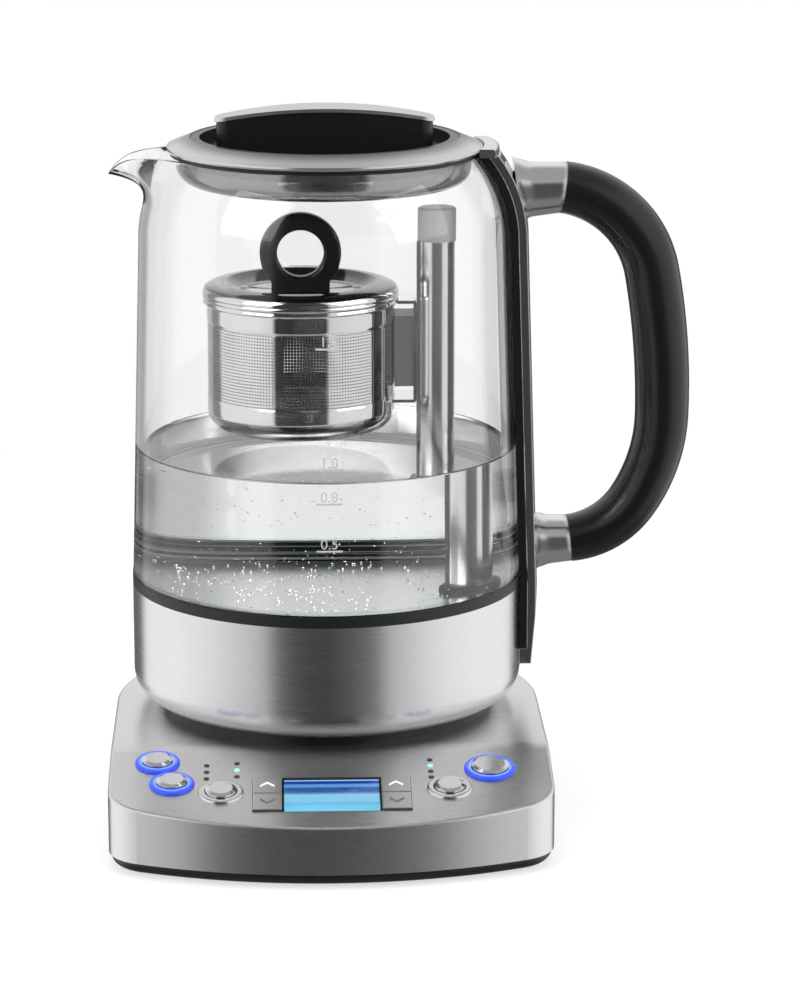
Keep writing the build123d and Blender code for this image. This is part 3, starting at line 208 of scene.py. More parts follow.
MARK_LINE = 9.6
MARK_LINE_HEIGHT = 0.7
MARK_THICK = 0.06
MARK_PROUD = 0.02

# Display, lit rings and lit indicators: places on the panel, and colours
LCD_GLOW = 1.0
GLOW_IN_METAL = 0.06
LCD_RIM = (0.45, 0.62, 0.95, 1.0)
LCD_BAR = (0.0, 0.06, 0.34, 1.0)
LCD_LINE = (0.12, 0.34, 0.75, 1.0)
LCD_EDGE = (0.05, 0.28, 0.42, 1.0)
LCD_FIELD = (0.2, 0.62, 0.88, 1.0)
LCD_FIELD_LOW = (0.3, 0.68, 0.88, 1.0)
LCD_STOPS = (
    (0.045, LCD_RIM), (0.06, LCD_BAR), (0.13, LCD_BAR), (0.16, LCD_LINE), (0.235, LCD_LINE), (0.26, LCD_BAR),
    (0.39, LCD_BAR), (0.42, LCD_EDGE), (0.45, LCD_EDGE), (0.47, LCD_FIELD_LOW), (0.52, LCD_FIELD),
    (0.92, LCD_FIELD), (0.96, LCD_FIELD_LOW),
)
HALOS = ((-63.7, -12.0, 5.7), (-58.1, -28.3, 5.7), (58.3, -18.8, 6.9))
HALO_WIDTH = 2.3
HALO_GLOW = 0.8
HALO_INNER = (0.42, 0.66, 1.0, 1.0)
HALO_MIDDLE = (0.14, 0.3, 0.9, 1.0)
HALO_OUTER = (0.03, 0.05, 0.45, 1.0)
HALO_STOPS = ((0.28, HALO_MIDDLE), (0.7, HALO_OUTER))
LIT_LEDS = ((-34.5, -18.0), (36.5, -16.0))
LED_LIT = (0.35, 0.95, 0.95, 1.0)
LED_GLOW = 1.3
LED_REACH = (0.8, 1.6)      # distance over which a lit lens falls off

# Arrows on the keys
CHEVRON_HALF = 2.6
CHEVRON_RISE = 2.6
CHEVRON_STROKE = 1.2
CHEVRON_PROUD = 0.35
CHEVRON_SUNK = 0.05


# ---------------------------------------------------------------- node helpers

class Shader:
    """Small wrapper that adds and links the nodes of one material or world."""

    def __init__(self, owner):
        owner.use_nodes = True
        self.tree = owner.node_tree

    def add(self, kind, inputs=None, **settings):
        node = self.tree.nodes.new(kind)
        for name, value in settings.items():
            setattr(node, name, value)
        for key, value in (inputs or {}).items():
            if isinstance(value, bpy.types.NodeSocket):
                self.tree.links.new(value, node.inputs[key])
            else:
                node.inputs[key].default_value = value
        return node

    def link(self, source, node, key):
        self.tree.links.new(source, node.inputs[key])

    def math(self, operation, *values):
        node = self.add("ShaderNodeMath", dict(enumerate(values)), operation=operation)
        return node.outputs[0]

    def smooth_range(self, value, low, high, to_low=0.0, to_high=1.0):
        inputs = {"Value": value, "From Min": low, "From Max": high, "To Min": to_low, "To Max": to_high}
        return self.add("ShaderNodeMapRange", inputs, interpolation_type="SMOOTHSTEP").outputs["Result"]

    def dim_in_metal(self, strength):
        """Strength of a lamp that shows only faintly in the steel round it."""
        mirrored = self.math("MINIMUM", self.add("ShaderNodeLightPath").outputs["Glossy Depth"], 1.0)
        return self.map_range(mirrored, To_Min=strength, To_Max=strength * GLOW_IN_METAL)

    def place(self):
        coords = self.add("ShaderNodeTexCoord").outputs["Object"]
        return self.add("ShaderNodeSeparateXYZ", {"Vector": coords}).outputs

    def from_axis(self, axis_x=0.0):
        """Distance from an upright axis that crosses X at a place in millimetres."""
        parts = self.place()
        x = self.math("SUBTRACT", parts["X"], axis_x * MM) if axis_x else parts["X"]
        squares = self.math("ADD", self.math("POWER", x, 2.0), self.math("POWER", parts["Y"], 2.0))
        return self.math("SQRT", squares)

    def nearest(self, places):
        """Distance to the nearest of some places on the panel, each less a radius in millimetres."""
        place = self.add("ShaderNodeTexCoord").outputs["Object"]
        least = None
        for x, v, radius in places:
            ends = {0: place, 1: panel_point(x, v)}
            away = self.add("ShaderNodeVectorMath", ends, operation="DISTANCE").outputs["Value"]
            away = self.math("SUBTRACT", away, radius * MM)
            least = away if least is None else self.math("MINIMUM", least, away)
        return least

    def noise(self, scale, stretch=(1, 1, 1), detail=2.0):
        coords = self.add("ShaderNodeTexCoord").outputs["Object"]
        mapped = self.add("ShaderNodeMapping", {"Vector": coords, "Scale": stretch}).outputs["Vector"]
        inputs = {"Vector": mapped, "Scale": scale, "Detail": detail}
        return self.add("ShaderNodeTexNoise", inputs).outputs["Fac"]

    def ramp(self, share, first, last, stops):
        """Colour between two ends with stops of (position, colour) between them."""
        node = self.add("ShaderNodeValToRGB", {"Fac": share})
        elements = node.color_ramp.elements
        elements[0].position, elements[1].position = 0.0, 1.0
        elements[0].color, elements[1].color = first, last
        for position, color in stops:
            elements.new(position).color = color
        return node.outputs["Color"]

    def map_range(self, value, **inputs):
        """Straight change of one range to another; inputs are the node's own, with _ for spaces."""
        inputs = {key.replace("_", " "): level for key, level in inputs.items()}
        return self.add("ShaderNodeMapRange", {"Value": value, **inputs}).outputs["Result"]


def grey(value):
    return (value, value, value, 1.0)


def principled(name, color, metallic=0.0, roughness=0.4, **sockets):
    """New material with one Principled shader; sockets are its other inputs, with _ for spaces."""
    material = bpy.data.materials.new(name)
    shader = Shader(material)
    bsdf = material.node_tree.nodes["Principled BSDF"]
    bsdf.inputs["Base Color"].default_value = color
    bsdf.inputs["Metallic"].default_value = metallic
    bsdf.inputs["Roughness"].default_value = roughness
    for key, value in sockets.items():
        bsdf.inputs[key.replace("_", " ")].default_value = value
    return material, shader, bsdf


def vary(shader, bsdf, fac, socket, low, high):
    """Drives one shader input by a texture between two values."""
    shader.link(shader.map_range(fac, From_Min=0.3, From_Max=0.7, To_Min=low, To_Max=high), bsdf, socket)


def bump(shader, bsdf, fac, strength, distance):
    node = shader.add("ShaderNodeBump", {"Height": fac, "Strength": strength, "Distance": distance})
    shader.link(node.outputs["Normal"], bsdf, "Normal")


def on_panel(x, v, proud=0.0):
    """Point on the sloping panel: v up the slope, proud of its surface."""
    slope = math.radians(PANEL_SLOPE)
    return (x, -PANEL_START + v * math.cos(slope) - proud * math.sin(slope),
            BASE_TOP + v * math.sin(slope) + proud * math.cos(slope))


def panel_point(x, v):
    return Vector(on_panel(x, v)) * MM


# ---------------------------------------------------------------- materials

def steel(name, color, roughness, anisotropy=0.7, brush="x", streak=0.025, depth=0.03):
    """Brushed steel. Its grain runs along X, level round the sides (girth) or round the axis (round)."""
    material, shader, bsdf = principled(name, grey(color), 1.0, roughness, Anisotropic=anisotropy)
    coords = shader.add("ShaderNodeTexCoord").outputs["Object"]
    along = (1.0, 0.15, 0.0)
    stretch = {"x": (0.02, 1.0, 1.0), "girth": (0.02, 0.02, 1.0), "round": (1.0, 0.02, 0.02)}[brush]
    if brush == "round":
        ends = {0: (0, 0, 1), 1: coords}
        along = shader.add("ShaderNodeVectorMath", ends, operation="CROSS_PRODUCT").outputs[0]
        parts = shader.add("ShaderNodeSeparateXYZ", {"Vector": coords}).outputs
        flat = shader.add("ShaderNodeCombineXYZ", {"X": parts["X"], "Y": parts["Y"]}).outputs[0]
        away = shader.add("ShaderNodeVectorMath", {0: flat}, operation="LENGTH").outputs["Value"]
        coords = shader.add("ShaderNodeCombineXYZ", {"X": away, "Y": parts["X"], "Z": parts["Y"]}).outputs[0]
    normal = shader.add("ShaderNodeNewGeometry").outputs["Normal"]
    across = shader.add("ShaderNodeVectorMath", {0: normal, 1: along}, operation="CROSS_PRODUCT").outputs[0]
    tangent = shader.add("ShaderNodeVectorMath", {0: across}, operation="NORMALIZE").outputs[0]
    shader.link(tangent, bsdf, "Tangent")
    mapped = shader.add("ShaderNodeMapping", {"Vector": coords, "Scale": stretch}).outputs["Vector"]
    inputs = {"Vector": mapped, "Scale": GRAIN_SCALE, "Detail": 2.0, "Roughness": 0.6}
    grain = shader.add("ShaderNodeTexNoise", inputs).outputs["Fac"]
    vary(shader, bsdf, grain, "Roughness", roughness * 0.9, roughness * 1.1)
    vary(shader, bsdf, grain, "Base Color", color - streak, color + streak)
    bump(shader, bsdf, grain, depth, GRAIN_DEPTH)
    return material


def polished(name, color, roughness):
    """New mirror-like metal with faint smudges."""
    material, shader, bsdf = principled(name, grey(color), 1.0, roughness)
    vary(shader, bsdf, shader.noise(SMUDGE_SCALE), "Roughness", roughness * 0.7, roughness * 1.4)
    return material, shader, bsdf


def mirror_steel(name, color, roughness, edge=0.0):
    """Polished metal; edge is the width in millimetres over which its corners are eased."""
    material, shader, bsdf = polished(name, color, roughness)
    if edge:
        eased = shader.add("ShaderNodeBevel", {"Radius": edge * MM}, samples=6)
        shader.link(eased.outputs["Normal"], bsdf, "Normal")
    return material


def ring_steel(name, color, roughness):
    """Satin ring with painted shade: darker towards its inner edge, in place of the gradient its reflection
    would give.
    """
    material = steel(name, color, roughness, 0.5, "round", 0.01, 0.01)
    shader = Shader(material)
    # painted shade: the colour falls from the ring's own to 0.22 towards its inner edge
    painted_shade = shader.smooth_range(shader.from_axis(), RING_INNER_R * MM, RING_OUTER_R * MM, 0.22, color)
    shader.link(painted_shade, material.node_tree.nodes["Principled BSDF"], "Base Color")
    return material


def painted_shade_foot_steel(name, color, roughness, low, high, dark):
    """Polished bowl with painted shade: dark below one height and at its full colour above another."""
    material, shader, bsdf = polished(name, color, roughness)
    # painted shade, by height
    painted_shade = shader.smooth_range(shader.place()["Z"], low * MM, high * MM, dark, color)
    shader.link(painted_shade, bsdf, "Base Color")
    return material


def basket_lid_steel(name, color, roughness):
    """Polished lid with painted shade: its full colour at the rolled rim, a dark shoulder and a grey recess.
    """
    material, shader, bsdf = polished(name, color, roughness)
    away = shader.from_axis(BASKET_X)
    # painted shade: shoulder and recess darker than the plain steel at the rim
    shoulder = shader.smooth_range(away, (RECESS_R - 4.5) * MM, (RECESS_R - 1) * MM, LID_RECESS_SHADE, LID_SHOULDER_SHADE)
    rim = shader.smooth_range(away, (BASKET_RIM_R - 1.2) * MM, (BASKET_RIM_R - 0.5) * MM)
    shader.link(shader.map_range(rim, To_Min=shoulder, To_Max=color), bsdf, "Base Color")
    return material


def plastic(name, color, roughness):
    material, shader, bsdf = principled(name, color, 0.0, roughness)
    grain = shader.noise(MOULD_SCALE, detail=3.0)
    vary(shader, bsdf, grain, "Roughness", roughness * 0.9, roughness * 1.15)
    bump(shader, bsdf, grain, 0.15, GRAIN_DEPTH)
    return material


def glass(name, color, ior=1.48, roughness=0.0, wave=0.05):
    material, shader, bsdf = principled(name, color, 0.0, roughness, Transmission_Weight=1.0, IOR=ior)
    bump(shader, bsdf, shader.noise(WAVE_SCALE, detail=1.0), wave, WAVE_DEPTH)
    return material


def foot_glass(name, color):
    """Thick glass at the jug's foot as the water meets it, with level flow lines in its bump and painted
    glints where it turns part matt along them.
    """
    material, shader, bsdf = principled(name, color, 0.0, 0.0, Transmission_Weight=1.0, IOR=FOOT_IOR)
    lines = shader.noise(FLOW_AND_GLINT_SCALE, (0.006, 0.006, 1.0))
    # painted glints: along the lines the glass lets less through and shows its pale colour lit
    shader.link(shader.smooth_range(lines, 0.5, 0.66, 1.0, 0.35), bsdf, "Transmission Weight")
    bump(shader, bsdf, lines, 0.6, FLOW_DEPTH)
    return material


def display_pattern(name):
    """Backlit display: two dark bars over a light blue field, in the panel's own coordinates."""
    lit = {"Emission_Strength": LCD_GLOW, "Specular_IOR_Level": 0.0}
    material, shader, bsdf = principled(name, grey(0.0), 0.0, 0.5, **lit)
    slope = math.radians(PANEL_SLOPE)
    ends = {0: shader.add("ShaderNodeTexCoord").outputs["Object"], 1: panel_point(0, LCD_V + LCD_DEPTH / 2)}
    from_top = shader.add("ShaderNodeVectorMath", ends, operation="SUBTRACT").outputs[0]
    ends = {0: from_top, 1: (0.0, -math.cos(slope), -math.sin(slope))}
    depth = shader.add("ShaderNodeVectorMath", ends, operation="DOT_PRODUCT").outputs["Value"]
    share = shader.map_range(depth, From_Max=LCD_DEPTH * MM)
    color = shader.ramp(share, LCD_RIM, LCD_FIELD_LOW, LCD_STOPS)
    shade = shader.noise(60.0, (0.4, 1.0, 1.0), detail=1.0)
    uneven = {0: color, "Scale": shader.map_range(shade, To_Min=0.85, To_Max=1.12)}
    glow = shader.add("ShaderNodeVectorMath", uneven, operation="SCALE").outputs[0]
    shader.link(glow, bsdf, "Emission Color")
    shader.link(shader.dim_in_metal(LCD_GLOW), bsdf, "Emission Strength")
    return material


def halo_light(name):
    """Lit rings: light blue at the bore, deep blue at the outer edge."""
    material, shader, bsdf = principled(name, (0.02, 0.05, 0.5, 1.0), 0.0, 0.12, Emission_Strength=HALO_GLOW)
    bores = [(x, v, radius + KEY_GAP) for x, v, radius in HALOS]
    share = shader.map_range(shader.nearest(bores), From_Max=HALO_WIDTH * MM)
    shader.link(shader.ramp(share, HALO_INNER, HALO_OUTER, HALO_STOPS), bsdf, "Emission Color")
    shader.link(shader.dim_in_metal(HALO_GLOW), bsdf, "Emission Strength")
    return material


def indicator_lights(name):
    """Dark lenses, of which the lit ones glow."""
    lit = {"Emission_Color": LED_LIT, "Emission_Strength": 1.0}
    material, shader, bsdf = principled(name, grey(0.02), 0.0, 0.25, **lit)
    away = shader.nearest([(x, v, 0.0) for x, v in LIT_LEDS])
    near = shader.smooth_range(away, LED_REACH[0] * MM, LED_REACH[1] * MM, LED_GLOW, 0.0)
    shader.link(near, bsdf, "Emission Strength")
    bump(shader, bsdf, shader.noise(LENS_SCALE), 0.05, GRAIN_DEPTH)
    return material


MATERIALS = {
    "brushed_steel": steel("brushed_steel", 0.84, 0.26, brush="girth"),
    "base_steel": steel("base_steel", 0.84, 0.3, 0.5, depth=0.008),
    "lid_steel": steel("lid_steel", 0.78, 0.26, 0.5, brush="round", streak=0.01),
    "ring_steel": ring_steel("ring_steel", 0.74, 0.26),
    "trim_steel": steel("trim_steel", 0.82, 0.42, 0.3),
    # painted shade: the basket darkened at its foot, over a bright reflection
    "basket_steel": painted_shade_foot_steel("basket_steel", 0.86, 0.05, BASKET_LOW + 0.6, BASKET_LOW + 4.5, 0.12),
    "post_steel": steel("post_steel", 0.82, 0.2, 0.0, brush="girth"),
    "basket_lid_steel": basket_lid_steel("basket_lid_steel", 0.86, 0.06),
    "polished_steel": mirror_steel("polished_steel", 0.86, 0.05),
    # painted shade: the skirt darkened at its lower edge
    "skirt_steel": painted_shade_foot_steel("skirt_steel", 0.42, 0.12, SKIRT_LOW + 0.2, SKIRT_LOW + 0.9, 0.08),
    "spine_chrome": mirror_steel("spine_chrome", 0.7, 0.06, 0.7),
    "bracket_chrome": mirror_steel("bracket_chrome", 0.86, 0.05, 3.0),
    "heater_steel": steel("heater_steel", 0.76, 0.22, 0.0),
    "black_plastic": plastic("black_plastic", grey(0.008), 0.3),
    "grip_rubber": plastic("grip_rubber", grey(0.006), 0.22),
    "silicone": plastic("silicone", grey(0.008), 0.4),
    "clear_glass": glass("clear_glass", (0.975, 0.982, 0.982, 1.0)),
    "foot_glass": foot_glass("foot_glass", (0.86, 0.93, 0.9, 1.0)),
    "display_glass": glass("display_glass", (0.97, 0.99, 1.0, 1.0), 1.15, 0.03, 0.0),
    "display_backing": display_pattern("display_backing"),
    "halo_blue": halo_light("halo_blue"),
    "chrome_trim": mirror_steel("chrome_trim", 0.86, 0.1, 0.3),
    "key_silver": steel("key_silver", 0.8, 0.32),
    "key_dark": plastic("key_dark", grey(0.12), 0.4),
    "indicator": indicator_lights("indicator"),
    "circuit_board": plastic("circuit_board", (0.02, 0.2, 0.06, 1.0), 0.4),
    "contact_brass": mirror_steel("contact_brass", 0.6, 0.2),
    "screw_steel": mirror_steel("screw_steel", 0.5, 0.3),
    "motor_steel": mirror_steel("motor_steel", 0.5, 0.3),
    "magnet": plastic("magnet", grey(0.16), 0.35),
    "cap_grey": plastic("cap_grey", grey(0.55), 0.3),
    "water": glass("water", (0.985, 0.992, 0.99, 1.0), 1.333),
    "bubble": mirror_steel("bubble", 0.9, 0.05),
    "print_white": plastic("print_white", grey(0.85), 0.5),
}


def dress_nodes():
    """Every CAD node that is shown takes the material of its slot, or one of its own."""
    slot_of = {part["node"]: part["material_slot"] for part in frame["record"]["subparts"]}
    own = {"lid_ring": "ring_steel", "lid_grip_trim": "trim_steel", "spine_cap": "lid_steel",
           "lid_skirt": "skirt_steel", "base_cover": "base_steel", "guide_post": "post_steel",
           "handle_upper_bracket": "bracket_chrome", "handle_lower_bracket": "bracket_chrome"}
    for name, node in NODES.items():
        node.data.materials.clear()
        node.data.materials.append(MATERIALS[own.get(name, slot_of[name])])


# ---------------------------------------------------------------- mesh helpers

class Shape:
    """Points (in millimetres) and faces of one piece, built up step by step."""

    def __init__(self):
        self.points = []
        self.faces = []

    def ring(self, radius, z, segments, x=0.0, y=0.0):
        """Circle of points round an upright axis, or one point where the radius is nothing."""
        if radius == 0:
            return self.row([(x, y, z)])
        step = math.tau / segments
        return self.row([
            (x + radius * math.cos(i * step), y + radius * math.sin(i * step), z) for i in range(segments)
        ])

    def row(self, points):
        first = len(self.points)
        self.points.extend(points)
        return list(range(first, len(self.points)))

    def band(self, low, high):
        """Closed strip of faces between two rows; either may be a single point."""
        count = max(len(low), len(high))
        for i in range(count):
            j = (i + 1) % count
            corners = [low[i % len(low)], low[j % len(low)], high[j % len(high)], high[i % len(high)]]
            self.faces.append(list(dict.fromkeys(corners)))

    def lathe(self, profile, segments, x=0.0, y=0.0, closed=False):
        """Solid of revolution; the profile runs anticlockwise seen with the axis on the left."""
        rings = [self.ring(radius, z, segments, x, y) for radius, z in profile]
        for low, high in zip(rings, rings[1:]):
            self.band(low, high)
        if closed:
            self.band(rings[-1], rings[0])
        return rings

    def piece(self, name, body, slot, material=None):
        """Turns the points and faces into a finished piece."""
        mesh = bpy.data.meshes.new(name)
        mesh.from_pydata([(x * MM, y * MM, z * MM) for x, y, z in self.points], [], self.faces)
        return finish_piece(name, mesh, body, slot, material)


def finish_piece(name, mesh, body, slot, material=None):
    """Piece from a mesh: smooth faces with sharp edges, its material (the slot's, when none is given) and its
    body.
    """
    mesh.update()
    mesh.polygons.foreach_set("use_smooth", [True] * len(mesh.polygons))
    mesh.set_sharp_from_angle(angle=math.radians(SHARP_ANGLE))
    mesh.materials.append(material or MATERIALS[slot])
    piece = bpy.data.objects.new(name, mesh)
    bpy.context.scene.collection.objects.link(piece)
    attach(piece, body)
    return piece


def arc(centre_r, centre_z, radius, start, end, steps):
    """Points of a profile's rounded corner, from start to end in degrees."""
    angles = [math.radians(start + (end - start) * i / steps) for i in range(steps + 1)]
    return [(centre_r + radius * math.cos(a), centre_z + radius * math.sin(a)) for a in angles]


def glass_inner_r(z):
    """Inside radius of the jug's straight wall at a height."""
    share = (z - SEAM_Z) / (SHOULDER_Z - SEAM_Z)
    return JUG_R - GLASS_TAPER * share - GLASS_WALL


# ---------------------------------------------------------------- tea basket

def screen_cell(shape, lows, highs, column, centre, radii):
    """One cell of the screen: an eight-sided hole through the outer and the inner sheet."""
    angle, z = centre
    holes = []
    for (low, high), radius, turn in zip(zip(lows, highs), radii, (1, -1)):
        following = (column + 1) % SCREEN_COLUMNS
        corners = [high[following], high[column], low[column], low[following]]
        hole = []
        for i in range(8):
            around = math.radians(22.5 + 45 * i)
            turned = angle + SCREEN_HOLE_R * math.cos(around) / radius
            hole.append((BASKET_X + radius * math.cos(turned), radius * math.sin(turned),
                         z + SCREEN_HOLE_R * math.sin(around)))
        hole = shape.row(hole)
        holes.append(hole)
        for i, corner in enumerate(corners):
            here, after = hole[2 * i], hole[2 * i + 1]
            next_corner, next_hole = corners[(i + 1) % 4], hole[(2 * i + 2) % 8]
            shape.faces.append([corner, after, here][::turn])
            shape.faces.append([corner, next_corner, next_hole, after][::turn])
    outer, inner = holes
    for i in range(8):
        j = (i + 1) % 8
        shape.faces.append([outer[i], outer[j], inner[j], inner[i]])


def make_basket():
    """Tea basket with rolled rim, round lower corner and a screen with real holes."""
    shape = Shape()
    in_r = BASKET_R - BASKET_WALL
    corner_z = BASKET_LOW + BASKET_CORNER_R
    rows = [SCREEN_LOW + (SCREEN_TOP - SCREEN_LOW) * i / SCREEN_ROWS for i in range(SCREEN_ROWS + 1)]
    screen_r = BASKET_R - SCREEN_RELIEF
    foot = [(0, BASKET_LOW), (BASKET_R - BASKET_CORNER_R - 6, BASKET_LOW)]
    foot += arc(BASKET_R - BASKET_CORNER_R, corner_z, BASKET_CORNER_R, -90, 0, 10)
    foot += [(BASKET_R, SCREEN_LOW - 1.0), (BASKET_R, SCREEN_LOW - 0.5)]
    rim_low = BASKET_TOP - BASKET_RIM_HEIGHT
    rim = [(BASKET_R, z) for z in (SCREEN_TOP + 0.5, SCREEN_TOP + 1.0, rim_low - 0.9, rim_low - 0.4)]
    rim += arc(BASKET_R + 0.55, rim_low + 0.75, BEAD_R, -120, 40, 6)
    rim += arc(BASKET_RIM_R - ROLL_R, BASKET_TOP - 1.2, ROLL_R, -50, 90, 8)
    rim += [(in_r + 0.4, BASKET_TOP), (in_r, BASKET_TOP - 0.4)]
    outer = [shape.ring(r, z, SCREEN_COLUMNS, BASKET_X) for r, z in foot]
    outer_rows = [shape.ring(screen_r, z, SCREEN_COLUMNS, BASKET_X) for z in rows]
    upper = [shape.ring(r, z, SCREEN_COLUMNS, BASKET_X) for r, z in rim]
    inner_rows = [shape.ring(in_r, z, SCREEN_COLUMNS, BASKET_X) for z in rows]
    inner_corner = arc(BASKET_R - BASKET_CORNER_R, corner_z, BASKET_CORNER_R - BASKET_WALL, 0, -90, 8)
    inside = [shape.ring(r, z, SCREEN_COLUMNS, BASKET_X) for r, z in inner_corner]
    inside.append(shape.ring(0, BASKET_LOW + BASKET_WALL, SCREEN_COLUMNS, BASKET_X))
    chains = (outer + outer_rows[:1], outer_rows[-1:] + upper + inner_rows[-1:], inner_rows[:1] + inside)
    for chain in chains:
        for low, high in zip(chain, chain[1:]):
            shape.band(low, high)
    step = math.tau / SCREEN_COLUMNS
    for k in range(SCREEN_ROWS):
        lows, highs = (outer_rows[k], inner_rows[k]), (outer_rows[k + 1], inner_rows[k + 1])
        z = (rows[k] + rows[k + 1]) / 2
        for column in range(SCREEN_COLUMNS):
            angle = (column + 0.5) * step
            off_seam = abs((math.degrees(angle) - SCREEN_SEAM + 180) % 360 - 180)
            if off_seam > SCREEN_SEAM_HALF:
                screen_cell(shape, lows, highs, column, (angle, z), (screen_r, in_r))
                continue
            following = (column + 1) % SCREEN_COLUMNS
            shape.faces.append([lows[0][column], lows[0][following], highs[0][following], highs[0][column]])
            shape.faces.append([lows[1][column], highs[1][column], highs[1][following], lows[1][following]])
    basket = shape.piece("basket_screen_cup", "basket", "polished_steel", MATERIALS["basket_steel"])
    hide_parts("basket_cup")


def evaluated_mesh(piece):
    return bpy.data.meshes.new_from_object(piece.evaluated_get(bpy.context.evaluated_depsgraph_get()))


def cut(piece, cutter):
    """Takes the cutter's solid out of the piece for good."""
    modifier = piece.modifiers.new("cut", "BOOLEAN")
    modifier.operation, modifier.object, modifier.solver = "DIFFERENCE", cutter, "EXACT"
    done = evaluated_mesh(piece)
    piece.modifiers.clear()
    piece.data = done
    bpy.data.objects.remove(cutter)


def make_basket_lid():
    """Pressed lid with a recess, a ring of steam holes and a plug into the basket."""
    top, floor = BASKET_LID_TOP, BASKET_LID_TOP - RECESS_DEPTH
    plug_r = BASKET_R - BASKET_WALL - LID_PLUG_GAP
    slope_in = RECESS_R - RECESS_RUN
    dome_drop = top - BASKET_TOP - SHEET
    dome = []
    for i in range(13):
        share = i / 12
        fall = dome_drop * (1 - math.sqrt(1 - share ** 2))
        dome.append((RECESS_R + (BASKET_RIM_R - RECESS_R) * share, top - fall))
    profile = [(0, floor - SHEET), (plug_r - SHEET, floor - SHEET), (plug_r - SHEET, BASKET_TOP - PLUG_DEPTH)]
    profile += [(plug_r, BASKET_TOP - PLUG_DEPTH), (plug_r, BASKET_TOP), (BASKET_RIM_R, BASKET_TOP)]
    profile += dome[::-1] + [(RECESS_R - 0.5, top - 0.12)]
    profile += [(slope_in + 0.5, floor + 0.3), (slope_in - 0.4, floor), (0, floor)]
    shape = Shape()
    shape.lathe(profile, 128, BASKET_X)
    look = MATERIALS["basket_lid_steel"]
    lid = shape.piece("basket_lid_pressing", "basket_lid", "polished_steel", look)
    cutter = Shape()
    for i in range(LID_HOLES):
        turn = math.tau * (i + 0.5) / LID_HOLES
        x, y = BASKET_X + LID_HOLE_PLACE_R * math.cos(turn), LID_HOLE_PLACE_R * math.sin(turn)
        drill = [(0, floor - 2), (LID_HOLE_R, floor - 2), (LID_HOLE_R, floor + 1), (0, floor + 1)]
        cutter.lathe(drill, 20, x, y)
    tool = cutter.piece("hole_tool", "basket_lid", "polished_steel")
    tool.parent = None
    cut(lid, tool)
    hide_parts("basket_lid_plate")


# ---------------------------------------------------------------- water, blown glass and marks

def make_water():
    """Water up to its level, with the small rise at the glass; it fills the jug's inside without a gap."""
    edge = glass_inner_r(WATER_TOP) + WATER_OVERLAP
    foot = glass_inner_r(PLATE_TOP) + WATER_OVERLAP
    low = PLATE_TOP - WATER_OVERLAP
    profile = [(0, low), (foot, low), (edge, WATER_TOP + MENISCUS)]
    for i in range(1, 9):
        away = MENISCUS_REACH * i / 8
        profile.append((edge - WATER_OVERLAP - away, WATER_TOP + MENISCUS * (1 - i / 8) ** 2.5))
    profile.append((0, WATER_TOP))
    shape = Shape()
    shape.lathe(profile, ROUND_STEPS)
    shape.piece("water", "jug", None, MATERIALS["water"])


def glass_face(shift):
    """Side line of the glass moved by shift, foot to rim: radius, height, share of the way up the spout."""
    low_r, high_r = JUG_R - GLASS_STEP + shift, JUG_R - GLASS_TAPER + shift
    rise, rim_z = SHOULDER_Z - SEAL_TOP, SHOULDER_Z + SHOULDER_RISE
    line = [(low_r + (high_r - low_r) * i / 6, SEAL_TOP + rise * i / 6) for i in range(6)]
    fall = JUG_R - GLASS_TAPER - NECK_R - RIM_WIDTH
    arc_r = (fall ** 2 + SHOULDER_RISE ** 2) / (2 * fall)
    centre_r = JUG_R - GLASS_TAPER - arc_r
    if shift:
        end = math.degrees(math.acos((NECK_R - centre_r) / (arc_r + shift)))
    else:
        end = math.degrees(math.asin(SHOULDER_RISE / arc_r))
    line += arc(centre_r, SHOULDER_Z, arc_r + shift, 0, end, 40)
    if shift:
        line.append((NECK_R, rim_z))
    return [(r, z, max(0.0, (z - SPOUT_LOW) / (rim_z - SPOUT_LOW))) for r, z in line]


def draw_spout(line, guide):
    """Places on the spout's middle that the points of a side line are drawn to, along a smooth guide."""
    root = next((r, z) for r, z, share in line if share > 0)
    points = []
    for _, _, share in line:
        rest = 1 - share
        parts = (rest ** 3, 3 * share * rest ** 2, 3 * share ** 2 * rest, share ** 3)
        points.append([sum(part * corner[k] for part, corner in zip(parts, (root, *guide))) for k in (0, 1)])
    return points


def spout_turns():
    """Degrees round the jug from the spout's middle, close together near it."""
    fine, turns = round(SPOUT_REGION / FINE_STEP), round(360 / COARSE_STEP)
    skipped = round(2 * SPOUT_REGION / COARSE_STEP)
    near = [FINE_STEP * i for i in range(-fine, fine + 1)]
    return near + [SPOUT_REGION + COARSE_STEP * i for i in range(1, turns - skipped)]


def make_blown_glass():
    """The blown jug, its wall drawn out smoothly into the spout on the left, closed at foot and rim."""
    shape = Shape()
    turns = spout_turns()
    faces = []
    for shift, guide in ((0.0, SPOUT_OUTER), (-GLASS_WALL, SPOUT_INNER)):
        line = glass_face(shift)
        rings = []
        for (r, z, share), (drawn_r, drawn_z) in zip(line, draw_spout(line, guide)):
            spread = SPOUT_SPREAD[0] + (SPOUT_SPREAD[1] - SPOUT_SPREAD[0]) * share
            ring = []
            for turn in turns:
                away = abs((turn + 180) % 360 - 180)
                pull = math.exp(-(away / spread) ** SPOUT_ROUNDNESS) if share else 0.0
                radius = r + (drawn_r - r) * pull
                angle = math.radians(180 + turn)
                ring.append((radius * math.cos(angle), radius * math.sin(angle),
                             z + (drawn_z - z) * pull ** (1 + LIP_DIP * share)))
            rings.append(shape.row(ring))
        faces.append(rings)
    loop = faces[0] + faces[1][::-1]
    for low, high in zip(loop, loop[1:] + loop[:1]):
        shape.band(low, high)
    glass_piece = shape.piece("blown_glass", "jug", "clear_glass")
    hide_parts("glass_body")


